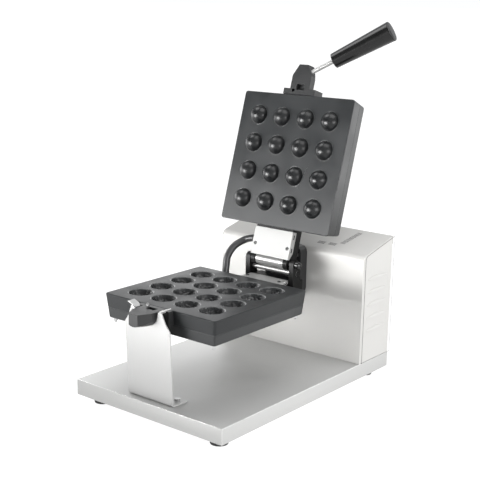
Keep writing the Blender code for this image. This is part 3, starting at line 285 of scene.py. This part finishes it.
def rubber_finish(name, tone, rough=0.75, shine=0.5):
    """Black rubber or plastic with a fine moulded grain and dusty gloss."""
    made, tree, shader = new_finish(name)
    shader.inputs["Specular IOR Level"].default_value = shine
    place = tree.nodes.new("ShaderNodeTexCoord").outputs["Object"]
    grain = noise_node(tree, 900.0, 4.0, place=place)
    dust = noise_node(tree, 60.0, 3.0, place=place)
    dusty = [t * 1.5 + 0.004 for t in tone]
    feed(tree, shader.inputs["Base Color"], tone_mix(tree, dust, tint(tone), tint(dusty)))
    feed(tree, shader.inputs["Roughness"], range_node(tree, dust, rough - 0.08, rough + 0.08))
    raise_grain(tree, grain, 0.12, 0.0002)
    return made


foot_rubber = rubber_finish("foot_rubber", (0.018, 0.018, 0.018))
for foot in ("foot_left_front", "foot_left_rear", "foot_right_front", "foot_right_rear"):
    dress(foot, foot_rubber, edge=0.0006)


# Cradle bracket and its screws
# One strip of bright stainless, bent at the foot and cut with a U that carries the front
# lug; two flared lips guide the lug down. Two pan-head screws hold the foot.

cradle_steel = steel_finish("cradle_steel", (0.47, 0.47, 0.465), (500, 500, 12), (0.42, 0.50),
                            bump=0.006, metal=0.42)
dress("cradle_bracket", cradle_steel)
screw_steel = steel_finish("screw_steel", (0.45, 0.45, 0.45), (500, 500, 500), (0.25, 0.4))
dress("cradle_screw_1", screw_steel, edge=0.0004)
dress("cradle_screw_2", screw_steel, edge=0.0004)


# Control box
# A stainless wrap folded over the front and the sloped top, with louvred side panels, a
# rear panel and a black gland for the supply lead; painted shade darkens the wrap to the left.

box_half = 0.155
box_tone = (0.515, 0.509, 0.494)
box_steel = steel_finish("box_steel", box_tone, (700, 700, 18), (0.50, 0.60),
                         bump=0.02, metal=0.20)
wrap_steel = steel_finish("wrap_steel", box_tone, (700, 700, 18), (0.50, 0.60),
                          bump=0.02, metal=0.20)
# Painted shade: the wrap's colour is multiplied down towards its left end and up at its right.
wrap_shade_left, wrap_light_right = 0.80, 1.06
wrap_tree = wrap_steel.node_tree
wrap_colour = wrap_tree.nodes["Principled BSDF"].inputs["Base Color"]
wrap_split = wrap_tree.nodes.new("ShaderNodeSeparateXYZ")
wrap_tree.links.new(wrap_tree.nodes.new("ShaderNodeTexCoord").outputs["Object"],
                    wrap_split.inputs[0])
wrap_painted_shade = range_node(wrap_tree, wrap_split.outputs["X"], wrap_shade_left, wrap_light_right,
                       -box_half, box_half)
wrap_shaded_tone = tone_mix(wrap_tree, 1.0, wrap_colour.links[0].from_socket, wrap_painted_shade)
wrap_shaded_tone.node.blend_type = 'MULTIPLY'
wrap_tree.links.new(wrap_shaded_tone, wrap_colour)
dress("box_wrap", wrap_steel)
for panel in ("box_side_left", "box_side_right", "box_rear_panel"):
    dress(panel, box_steel, edge=0.0002)
black_nylon = rubber_finish("black_nylon", (0.02, 0.02, 0.021), 0.5)
dress("cable_gland", black_nylon, edge=0.0004)
dress("terminal_block", rubber_finish("white_ceramic", (0.6, 0.58, 0.53), 0.6))

seam_wide = 0.0007
seam_proud = 0.00004
seam_sunk = 0.0002
side_seam = [(0.1502, 0.0402), (0.1502, 0.2236), (0.1509, 0.2261), (0.1524, 0.2284),
             (0.1545, 0.2299), (0.1572, 0.2307), (0.2413, 0.2508), (0.2413, 0.0402)]
front_seam = (0.1485, 0.0407)
front_seam_wide = 0.0013


def seam_shadow_shape():
    """Dark strips painted as the shadow in the seams of both side panels and under the front."""
    shape = bmesh.new()

    def shadow_strip(a, b, across, out, wide=seam_wide):
        run = (b - a).normalized() * wide / 2
        corners = [p + s * across * wide / 2 + o for p in (a - run, b + run)
                   for s in (-1, 1) for o in (out * seam_proud, out * -seam_sunk)]
        verts = [shape.verts.new(corner) for corner in corners]
        for face in ((0, 2, 6, 4), (1, 5, 7, 3), (0, 4, 5, 1), (2, 3, 7, 6), (0, 1, 3, 2),
                     (4, 6, 7, 5)):
            shape.faces.new([verts[i] for i in face])

    for side in (-1, 1):
        path = [Vector((side * box_half, y, z)) for y, z in side_seam + side_seam[:1]]
        for a, b in zip(path, path[1:]):
            out = Vector((side, 0, 0))
            shadow_strip(a, b, (b - a).normalized().cross(out), out)
    shadow_strip(Vector((-box_half, *front_seam)), Vector((box_half, *front_seam)),
         Vector((0, 0, 1)), Vector((0, -1, 0)), front_seam_wide)
    bmesh.ops.recalc_face_normals(shape, faces=shape.faces)
    return shape


def place_piece(name, shape, material, body, at_closed_lid=False):
    """Puts a dressing piece in its place on a body, swung open with the lid if it needs it."""
    piece = new_piece(name, shape, material)
    if at_closed_lid:
        piece.matrix_world = lid_swing
    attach(piece, body)
    return piece


# Painted shadow: the shadow gaps of the box's seams are drawn as thin dark strips.
place_piece("box_seam_shadows", seam_shadow_shape(), rubber_finish("seam_shadow_paint", (0.03, 0.029, 0.027), 0.6),
            "stand")


# Turning head
# A black painted casting bolted to the box front with a bronze sleeve through it, in which
# the hollow spindle turns; a nut behind the front keeps the spindle in.

def painted_finish(name, tone, rough, grain_size, bump, speckle=0.0, shine=0.5):
    """Dark coated casting: fine cast grain under the coat, with lighter worn haze."""
    made, tree, shader = new_finish(name)
    shader.inputs["Specular IOR Level"].default_value = shine
    place = tree.nodes.new("ShaderNodeTexCoord").outputs["Object"]
    grain = noise_node(tree, grain_size, 6.0, 0.7, place)
    haze = noise_node(tree, 22.0, 4.0, place=place)
    shade = tone_mix(tree, haze, tint(tone, 0.86), tint(tone, 1.14))
    specks = [min(1.0, t * 2.2 + 0.01) for t in tone]
    pick = range_node(tree, grain, 0.0, speckle, 0.58, 0.72)
    feed(tree, shader.inputs["Base Color"], tone_mix(tree, pick, shade, tint(specks)))
    feed(tree, shader.inputs["Roughness"],
         range_node(tree, haze, rough - 0.05, rough + 0.07, 0.3, 0.7))
    raise_grain(tree, grain, bump, 0.0003)
    return made


head_paint = painted_finish("head_paint", (0.020, 0.020, 0.0205), rough=0.38,
                            grain_size=420.0, bump=0.08, shine=0.4)
dress("head_block", head_paint, edge=0.0012)
turned_steel = steel_finish("turned_steel", (0.6, 0.6, 0.6), (400, 400, 400), (0.2, 0.32))
for bolt in ("head_bolt_1", "head_bolt_2", "head_bolt_3", "head_bolt_4"):
    dress(bolt, screw_steel)
dress("bearing_backplate", turned_steel)
dress("bearing_sleeve", steel_finish("sleeve_bronze", (0.5, 0.33, 0.16), (300, 900, 300)))
dress("spindle", turned_steel)
dress("spindle_nut", turned_steel)


# Hinge frame, bolt, nut and stop rod
# A black casting with two ears for the hinge bolt, a cross web and the spindle's flange; the
# open lid leans on a polished rod between the ears, its ends painted over with the casting.

polished_rod = steel_finish("polished_rod", (0.38, 0.38, 0.375), (12, 600, 600), (0.28, 0.36),
                            bump=0.02, metal=0.6)
frame_paint = painted_finish("frame_paint", (0.004, 0.004, 0.004), rough=0.40,
                             grain_size=420.0, bump=0.08, shine=0.22)
bolt_steel = steel_finish("bolt_steel", (0.75, 0.75, 0.74), (400, 400, 400), (0.25, 0.35),
                          metal=0.3)
cap_gloss = painted_finish("cap_gloss", (0.012, 0.012, 0.012), rough=0.14, grain_size=300.0,
                           bump=0.02)
dress("hinge_frame", frame_paint, edge=0.0008)
dress("hinge_bolt", bolt_steel, edge=0.0004)
dress("hinge_nut", cap_gloss, edge=0.0006)
stop_rod = dress("stop_rod", polished_rod)
stop_rod.data.materials.append(frame_paint)
for face in stop_rod.data.polygons:
    face.material_index = int(abs(face.normal.x) > 0.9)


# Lower mould
# A thick cast plate with a dark non-stick coat and sixteen hollows, each with a turned rim
# and the wrinkled form of half a walnut; a backing tray closes the heater in under it.

parting = 0.1885
mould_centre = (0.0, -0.0816)
pitch = 0.050
grid = [(mould_centre[0] + pitch * (i - 1.5), mould_centre[1] + pitch * (j - 1.5))
        for j in range(4) for i in range(4)]
coat_tone = (0.0125, 0.0137, 0.0146)
plate_coat = painted_finish("plate_coat", coat_tone, rough=0.34, grain_size=700.0, bump=0.10,
                            speckle=0.30)
lower_coat = painted_finish("lower_coat", coat_tone, rough=0.42, grain_size=700.0, bump=0.10,
                            speckle=0.30, shine=0.31)
back_coat = painted_finish("back_coat", coat_tone, rough=0.36, grain_size=500.0, bump=0.12,
                           speckle=0.2)
dress("lower_mould_plate", lower_coat, angle=40.0)
dress("lower_mould_back", back_coat, edge=0.0002)

# Painted shade: the hollows' coat is darker than the plate's coat, as the shade inside them.
shaded_hollow_coat = painted_finish("shaded_hollow_coat", (0.004, 0.0045, 0.005), rough=0.27,
                             grain_size=900.0, bump=0.02)
turned_rim = painted_finish("turned_rim", (0.075, 0.077, 0.078), rough=0.28,
                            grain_size=900.0, bump=0.03)
hollow_radius = 0.0197
hollow_depth = 0.0152
hollow_top = 0.0009
rim_outer = 0.0212
rim_lift = 0.00008
rim_section = ((rim_outer, rim_lift), (rim_outer - 0.0003, rim_lift * 1.5),
               (hollow_radius + 0.0002, -0.0007))
relief_depth = 0.0015
relief_slope, relief_start = -5.5, 5.2
fold_scale = 2.9
fold_steepness = 3.0
fold_roundness = 1.2
bend_scale = 0.7
bend_share = 1.1
seam_half_wide = 0.09


def walnut_relief(way, seed):
    """How far half a walnut's shell dips in one direction from the hollow's centre, 0 to 1."""
    spot = way * fold_scale + Vector((seed * 3.7, seed * 1.3, 0))
    bend = Vector((noise.noise(spot * bend_scale),
                   noise.noise(spot * bend_scale + Vector((9, 2, 5))), 0))
    wave = noise.noise(spot + bend * bend_share)
    ridge = max(0.0, 1.0 - abs(wave) * fold_steepness) ** fold_roundness
    seam = max(0.0, 1.0 - abs(way.x) / seam_half_wide)
    return max(ridge, seam)


def circle(shape, cx, cy, radius, height, sides):
    """A level ring of points round a centre."""
    turns = [2 * math.pi * k / sides for k in range(sides)]
    return [shape.verts.new((cx + radius * math.cos(t), cy + radius * math.sin(t), height))
            for t in turns]


def skin(shape, loops):
    """Closes the space between rings of points, each to the next, with quads."""
    for first, second in zip(loops, loops[1:]):
        for k in range(len(first)):
            after = (k + 1) % len(first)
            shape.faces.new((first[k], first[after], second[after], second[k]))


def close_at(shape, loop, pole):
    """Closes a ring of points with triangles that meet at one point."""
    for k in range(len(loop)):
        shape.faces.new((loop[k], loop[(k + 1) % len(loop)], pole))


def hollow_shape():
    """A turned rim and a bowl in the form of half a walnut, at each place of the grid."""
    shape = bmesh.new()
    rings, sides = 30, 84
    turns = [2 * math.pi * k / sides for k in range(sides)]
    ball = (hollow_radius ** 2 + hollow_depth ** 2) / (2 * hollow_depth)
    start = math.asin(hollow_radius / ball)
    middle = -hollow_top + ball * math.cos(start)
    for number, (cx, cy) in enumerate(grid):
        centre = Vector((cx, cy, parting + middle))
        loops = [circle(shape, cx, cy, radius, parting + height, sides)
                 for radius, height in rim_section]
        for i in range(rings):
            angle = start * (1 - i / rings)
            fade = min(1.0, max(0.0, (1 - i / rings) * relief_slope + relief_start))
            loop = []
            for t in turns:
                way = Vector((math.sin(angle) * math.cos(t), math.sin(angle) * math.sin(t),
                              -math.cos(angle)))
                reach = ball - relief_depth * fade * walnut_relief(way, number)
                loop.append(shape.verts.new(centre + way * reach))
            loops.append(loop)
        skin(shape, loops)
        close_at(shape, loops[-1], shape.verts.new(centre + Vector((0, 0, relief_depth - ball))))
    bmesh.ops.recalc_face_normals(shape, faces=shape.faces)
    for face in shape.faces:
        face.smooth = True
        face.material_index = int(face.calc_center_median().z > parting - hollow_top)
    if sum(face.normal.z for face in shape.faces) < 0:
        bmesh.ops.reverse_faces(shape, faces=shape.faces)
    return shape


hollows = place_piece("walnut_hollows", hollow_shape(), shaded_hollow_coat, "turning_frame")
hollows.data.materials.append(turned_rim)

band_corner = 0.10899
band_depths = (0.02426, 0.02308, 0.0239)
band_sunk = 0.0008


def joint_band_shape(side, reach):
    """A flush band in the joint between a plate and its backing tray."""
    shape = bmesh.new()
    loops = []
    for edge, depth in zip((reach, reach, reach - band_sunk), band_depths):
        loop = []
        for quarter, (sx, sy) in enumerate(((1, 1), (-1, 1), (-1, -1), (1, -1))):
            for step in range(4):
                turn = math.radians(90 * quarter + 30 * step)
                loop.append(shape.verts.new((
                    mould_centre[0] + sx * band_corner + (edge - band_corner) * math.cos(turn),
                    mould_centre[1] + sy * band_corner + (edge - band_corner) * math.sin(turn),
                    parting + side * depth)))
        loops.append(loop)
    skin(shape, loops + loops[:1])
    bmesh.ops.recalc_face_normals(shape, faces=shape.faces)
    return shape


place_piece("lower_joint_band", joint_band_shape(-1, 0.1131), back_coat, "turning_frame")
fibre_mat = rubber_finish("fibre_mat", (0.6, 0.58, 0.52), 0.9)
dress("lower_heater", turned_steel, edge=0)
dress("lower_insulation", fibre_mat)


# Screws under the mould corners
# Four bright hexagon standoff screws clamp each backing tray to its plate at the corners.

mould_half = 0.116
mould_draft = 0.0042
mould_thickness = 0.041
screw_inset = 0.008
hex_radius = 0.0036
hex_height = 0.0056


def facing_way(centre, way):
    """A place whose own height points up, or down where the way is negative."""
    place = Matrix.Translation(centre)
    return place @ Matrix.Rotation(math.pi, 4, 'X') if way < 0 else place


def corner_screws(surface, way):
    """At each corner of a mould a hexagon head, and a short tapered end beyond it."""
    shape = bmesh.new()
    across = mould_half - mould_draft - screw_inset
    for sx in (-1, 1):
        for sy in (-1, 1):
            place = facing_way((mould_centre[0] + sx * across, mould_centre[1] + sy * across,
                                surface), way)
            bmesh.ops.create_cone(shape, cap_ends=True, segments=6, radius1=hex_radius,
                                  radius2=hex_radius, depth=hex_height,
                                  matrix=place @ Matrix.Translation((0, 0, hex_height / 2)))
            bmesh.ops.create_cone(shape, cap_ends=True, segments=24, radius1=hex_radius * 0.62,
                                  radius2=hex_radius * 0.5, depth=hex_height * 0.5,
                                  matrix=place @ Matrix.Translation((0, 0, hex_height * 1.2)))
    return shape


def soften(piece, width=0.0003):
    """Softly breaks the edges of a dressing piece."""
    edges = piece.modifiers.new("broken_edges", 'BEVEL')
    edges.width = width
    edges.segments = 2
    edges.limit_method = 'ANGLE'
    edges.angle_limit = math.radians(30)
    edges.harden_normals = True
    piece.data.shade_smooth()


bright_screws = steel_finish("bright_screws", (0.60, 0.60, 0.60), (300, 300, 300), (0.12, 0.22))
soften(place_piece("lower_corner_screws", corner_screws(parting - mould_thickness, -1),
                   bright_screws, "turning_frame"))


# Front lug and locating pin
# The lug is a black casting bolted to the mould, round under its neck where it turns in the
# cradle; a bright steel pin stands beside its pocket and finds the upper lug.

lug_paint = painted_finish("lug_paint", (0.016, 0.0165, 0.017), rough=0.42, grain_size=420.0,
                           bump=0.12, speckle=0.2, shine=0.42)
dress("front_lug", lug_paint, edge=0.0007)
dress("locating_pin", steel_finish("pin_steel", (0.22, 0.22, 0.22), (300, 300, 300),
                                   (0.35, 0.45)))


# Hinge covers
# Channels of polished stainless screwed over the hinge castings' parting side, with two
# slots in each flange and two cross-recess screws near the rear.

open_angle = 106.4
hinge_line = Vector((0.0, 0.0918, 0.2083))
lid_swing = (Matrix.Translation(hinge_line) @ Matrix.Rotation(math.radians(-open_angle), 4, 'X')
             @ Matrix.Translation(-hinge_line))
cover_steel = steel_finish("cover_steel", (0.33, 0.33, 0.324), (20, 700, 700), (0.34, 0.42),
                           bump=0.01, metal=0.2)
dress("lower_hinge_cover", cover_steel)
dress("upper_hinge_cover", cover_steel)

cover_drop = 0.0080
cover_screw_places = ((-0.0345, 0.0672), (0.0345, 0.0672))
recess_lift = 0.00162
recess_bar = (0.0032, 0.0006, 0.00012)
slot_side = 0.04025
slot_places = (0.0463, 0.0695)
slot_drop = 0.01405
slot_shade_size = (0.0002, 0.0079, 0.0029)
flange_screw_place = (0.0405, 0.0764, 0.1768)


def pan_head(shape, place, foot, top, height):
    """A low round screw head that stands on a place and tapers a little."""
    bmesh.ops.create_cone(shape, cap_ends=True, segments=28, radius1=foot, radius2=top,
                          depth=height, matrix=place @ Matrix.Translation((0, 0, height / 2)))


def small_box(shape, place, size):
    """A small box of a size, round a place."""
    bmesh.ops.create_cube(shape, size=1.0, matrix=place @ Matrix.Diagonal((*size, 1)))


def cover_screws_shape(face, way):
    """Pan-head screws that stand on a cover's outer face."""
    shape = bmesh.new()
    for x, y in cover_screw_places:
        pan_head(shape, facing_way((x, y, face), way), 0.0034, 0.0026, 0.0016)
    return shape


def cover_recess_shade_shape(face, way):
    """Dark bars painted on each of a cover's screw heads as the shade in its cross recess."""
    shape = bmesh.new()
    for x, y in cover_screw_places:
        for turn in (35, 125):
            small_box(shape, Matrix.Translation((x, y, face + way * recess_lift))
                      @ Matrix.Rotation(math.radians(turn), 4, 'Z'), recess_bar)
    return shape


def slot_shade_shape(side):
    """Black strips behind the two slots of each flange, painted as the shade seen through them."""
    shape = bmesh.new()
    for hand in (-1, 1):
        for along in slot_places:
            small_box(shape, Matrix.Translation((hand * slot_side, along,
                                                 parting + side * slot_drop)), slot_shade_size)
    return shape


def flange_screws_shape():
    """Bright pan-head screws that hold the lower cover's flanges to the hinge casting."""
    shape = bmesh.new()
    x, y, z = flange_screw_place
    for side in (-1, 1):
        place = (Matrix.Translation((side * x, y, z))
                 @ Matrix.Rotation(side * math.pi / 2, 4, 'Y'))
        pan_head(shape, place, 0.0031, 0.0024, 0.0018)
    return shape


# Painted shade: black strips in the flange slots and dark bars in the screw heads' recesses.
recess_shade_paint = rubber_finish("recess_shade_paint", (0.002, 0.002, 0.002), 0.7, shine=0.1)
dull_screws = steel_finish("dull_screws", (0.08, 0.08, 0.079), (300, 300, 300), (0.3, 0.4),
                           metal=0.6)
covers = ((-1, "turning_frame", "lower"), (1, "lid", "upper"))
for side, body, name in covers:
    face = parting + side * cover_drop
    soften(place_piece(name + "_cover_screws", cover_screws_shape(face, -side), dull_screws,
                       body, at_closed_lid=side > 0))
    place_piece(name + "_cover_recess_shades", cover_recess_shade_shape(face, -side), recess_shade_paint,
                body, at_closed_lid=side > 0)
for side, body, name in covers:
    place_piece(name + "_slot_shades", slot_shade_shape(side), recess_shade_paint, body,
                at_closed_lid=side > 0)
soften(place_piece("lower_flange_screws", flange_screws_shape(), bright_screws,
                   "turning_frame"))


# Upper mould
# The lid's cast plate carries sixteen smooth domes, polished more than the flat between
# them, each inside a fine turned ring; its backing tray is like the lower one.

dress("upper_mould_plate", plate_coat, angle=40.0)
dress("upper_mould_back", back_coat, edge=0.0002)
place_piece("upper_joint_band", joint_band_shape(1, 0.1134), back_coat, "lid",
            at_closed_lid=True)
dress("upper_heater", turned_steel, edge=0)
dress("upper_insulation", fibre_mat)
dome_coat = painted_finish("dome_coat", (0.008, 0.0085, 0.009), rough=0.27,
                           grain_size=1100.0, bump=0.02, shine=0.34)
ring_line = painted_finish("ring_line", (0.05, 0.05, 0.05), rough=0.30, grain_size=900.0,
                           bump=0.02)
dome_face = parting + 0.0005
dome_radius = 0.01662
dome_height = 0.01412
dome_sides = 64
ring_radius = 0.0178
ring_wide = 0.0005
ring_high = 0.00012


def dome_shape():
    """The smooth domes, each a cap of a ball that hangs from the closed lid's face."""
    shape = bmesh.new()
    rings = 20
    ball = (dome_radius ** 2 + dome_height ** 2) / (2 * dome_height)
    start = math.asin(dome_radius / ball)
    for cx, cy in grid:
        loops = []
        for i in range(rings):
            angle = start * (1 - i / rings)
            drop = ball * (math.cos(angle) - math.cos(start))
            loops.append(circle(shape, cx, cy, ball * math.sin(angle), dome_face - drop,
                                dome_sides))
        skin(shape, loops[::-1])
        close_at(shape, loops[-1][::-1], shape.verts.new((cx, cy, dome_face - dome_height)))
    for face in shape.faces:
        face.smooth = True
    return shape


def ring_shape():
    """Fine raised rings round the feet of the domes."""
    shape = bmesh.new()
    section = ((ring_radius - ring_wide / 2, 0), (ring_radius, -ring_high),
               (ring_radius + ring_wide / 2, 0))
    for cx, cy in grid:
        loops = [circle(shape, cx, cy, radius, dome_face + height, dome_sides)
                 for radius, height in section]
        skin(shape, loops[::-1])
    for face in shape.faces:
        face.smooth = True
    return shape


place_piece("polished_domes", dome_shape(), dome_coat, "lid",
            at_closed_lid=True)
place_piece("dome_rings", ring_shape(), ring_line, "lid",
            at_closed_lid=True)
soften(place_piece("upper_corner_screws", corner_screws(parting + mould_thickness, 1),
                   bright_screws, "lid", at_closed_lid=True))


# Upper lug and hinge arm
# Black castings bolted to the front and the rear of the upper mould: the lug carries the
# handle, and the arm's round boss turns on the hinge bolt between the ears.

dress("handle_block", lug_paint, edge=0.0007)
dress("hinge_arm", frame_paint, edge=0.0008)
dress("hinge_sleeve", polished_rod)


# Handle
# A threaded rod screwed into the upper lug, and a turned grip of black heat-resistant
# plastic that widens to a domed end cap.

grip_plastic = rubber_finish("grip_plastic", (0.003, 0.003, 0.003), 0.20, 0.36)
dress("handle_grip", grip_plastic, edge=0.0008)
dress("grip_cap", rubber_finish("cap_plastic", (0.022, 0.022, 0.023), 0.45, 0.3), edge=0.0005)

plan, rise = math.radians(-33.6), math.radians(9.2)
handle_way = Vector((math.cos(plan) * math.cos(rise), math.sin(plan) * math.cos(rise),
                     math.sin(rise)))
handle_foot = Vector((0.0105, -0.2364, parting + 0.0064))
rod_start = -0.004
rod_end = 0.088
thread_pitch = 0.00125
thread_root = 0.00388
thread_crest = 0.00400


def thread_shape():
    """A rod whose wall rises and falls once a pitch along a helix."""
    shape = bmesh.new()
    sides, steps = 28, 8
    count = int((rod_end - rod_start) / thread_pitch * steps)
    loops = []
    for i in range(count + 1):
        along = rod_start + (rod_end - rod_start) * i / count
        loop = []
        for k in range(sides):
            turn = 2 * math.pi * k / sides
            phase = (along / thread_pitch - k / sides) % 1.0
            tooth = 1 - abs(phase * 2 - 1)
            radius = thread_root + (thread_crest - thread_root) * tooth
            loop.append(shape.verts.new((radius * math.cos(turn), radius * math.sin(turn), along)))
        loops.append(loop)
    skin(shape, loops)
    shape.faces.new(loops[0][::-1])
    shape.faces.new(loops[-1])
    for face in shape.faces:
        face.smooth = len(face.verts) == 4
    return shape


rod_piece = new_piece("threaded_rod", thread_shape(), polished_rod)
rod_piece.matrix_world = (lid_swing @ Matrix.Translation(handle_foot)
                          @ handle_way.to_track_quat('Z', 'Y').to_matrix().to_4x4())
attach(rod_piece, "lid")
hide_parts("handle_rod")


# Conduit and its glands
# Black flexible conduit carries the upper heater's wires from the lower mould to the lid;
# a nylon gland holds each end.

dress("lower_conduit_gland", black_nylon, edge=0.0004)
dress("upper_conduit_gland", black_nylon, edge=0.0004)

conduit_route = [(-0.0516, 0.1080, 0.2364), (-0.0581, 0.1080, 0.2364), (-0.0720, 0.1045, 0.2315),
                 (-0.0840, 0.0900, 0.2205), (-0.0890, 0.0780, 0.2030), (-0.0875, 0.0720, 0.1840),
                 (-0.0840, 0.0650, 0.1660), (-0.0820, 0.0523, 0.1559), (-0.0820, 0.0458, 0.1559)]
conduit_radius = 0.0064
rib_height = 0.00008
rib_pitch = 0.0024


def smooth_route(points, steps):
    """A smooth line through points, with a number of steps from each to the next."""
    ends = [points[0]] + points + [points[-1]]
    route = []
    for i in range(1, len(ends) - 2):
        p0, p1, p2, p3 = (Vector(p) for p in ends[i - 1:i + 3])
        for step in range(steps):
            t = step / steps
            route.append(0.5 * (2 * p1 + (p2 - p0) * t + (2 * p0 - 5 * p1 + 4 * p2 - p3) * t * t
                                + (3 * p1 - p0 - 3 * p2 + p3) * t * t * t))
    route.append(Vector(points[-1]))
    return route


def conduit_shape():
    """A tube along the route with the low, even ribs of a corrugated conduit."""
    shape = bmesh.new()
    route = smooth_route(conduit_route, 24)
    sides = 24
    ahead = (route[1] - route[0]).normalized()
    side = ahead.cross(Vector((0, 0, 1))).normalized()
    travelled = 0.0
    loops = []
    for i, point in enumerate(route):
        if i:
            travelled += (point - route[i - 1]).length
        near = route[max(0, i - 1)]
        far = route[min(len(route) - 1, i + 1)]
        ahead = (far - near).normalized()
        side = (side - ahead * side.dot(ahead)).normalized()
        other = ahead.cross(side)
        radius = conduit_radius + rib_height * math.cos(2 * math.pi * travelled / rib_pitch)
        turns = [2 * math.pi * k / sides for k in range(sides)]
        loops.append([shape.verts.new(point + (side * math.cos(t) + other * math.sin(t)) * radius)
                      for t in turns])
    skin(shape, loops)
    shape.faces.new(loops[0][::-1])
    shape.faces.new(loops[-1])
    bmesh.ops.recalc_face_normals(shape, faces=shape.faces)
    for face in shape.faces:
        face.smooth = True
    return shape


conduit = new_piece("flexible_conduit", conduit_shape(),
                    rubber_finish("conduit_sleeve", (0.024, 0.024, 0.025), 0.34))
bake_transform(conduit)
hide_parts("heater_conduit")


# Controls on the sloped top
# Temperature and timer knobs on steel shafts, a rocker switch and two lamps, with their
# housings under the sheet; plain grey marks are printed round the knobs and on the right.

knob_plastic = rubber_finish("knob_plastic", (0.02, 0.02, 0.021), 0.3)
for name in ("temperature", "timer"):
    dress(name + "_knob", knob_plastic, edge=0.0005)
    dress(name + "_shaft", turned_steel)
    dress(name + "_body", black_nylon)
dress("power_switch_frame", knob_plastic, edge=0.0004)
dress("power_rocker", knob_plastic)


def lens_finish(name, tone):
    """Tinted plastic that lets some light through."""
    made = rubber_finish(name, tone, 0.16)
    made.node_tree.nodes["Principled BSDF"].inputs["Transmission Weight"].default_value = 0.3
    return made


dress("power_lamp", lens_finish("green_lens", (0.04, 0.5, 0.1)))
dress("heating_lamp", lens_finish("amber_lens", (0.85, 0.3, 0.03)))

print_grey = rubber_finish("print_grey", (0.035, 0.035, 0.037), 0.6)
top_slope = math.atan2(0.0199, 0.0835)
top_start = (0.1535, 0.2324)
print_lift = 0.00006
print_thick = 0.00008
short_mark_places = ((0.051, 0.168), (0.0733, 0.169))
short_mark = (0.0150, 0.0014)
short_mark_pitch = 0.0032
edge_row_start = (0.0885, 0.1795)
edge_row_run = (0.0055, 0.0430)
edge_mark = (0.0095, 0.0013)
dial_places = ((-0.080, 0.216), (-0.028, 0.216))
dial_radius = 0.0175
dial_tick = (0.0006, 0.0022)


def printed_marks():
    """Plain printed bars: two short groups, a row along the right edge, and ticks for knobs."""
    shape = bmesh.new()

    def bar(x, y, size, turn=0.0):
        height = top_start[1] + (y - top_start[0]) * math.tan(top_slope)
        place = (Matrix.Translation((x, y, height)) @ Matrix.Rotation(top_slope, 4, 'X')
                 @ Matrix.Translation((0, 0, print_lift)))
        small_box(shape, place @ Matrix.Rotation(math.radians(turn), 4, 'Z'),
                  (*size, print_thick))

    for cx, cy in short_mark_places:
        for row in range(3):
            bar(cx, cy - short_mark_pitch + row * short_mark_pitch, short_mark)
    for i in range(7):
        share = i / 6
        cx, cy = (edge_row_start[n] + edge_row_run[n] * share for n in (0, 1))
        bar(cx, cy - 0.0020, edge_mark)
        bar(cx, cy + 0.0014, edge_mark)
    for cx, cy in dial_places:
        for i in range(11):
            turn = math.radians(-135 + 27 * i)
            tick = Vector((cx + dial_radius * math.sin(turn), cy + dial_radius * math.cos(turn)))
            bar(tick.x, tick.y, dial_tick, -math.degrees(turn))
    return shape


place_piece("printed_marks", printed_marks(), print_grey, "stand")
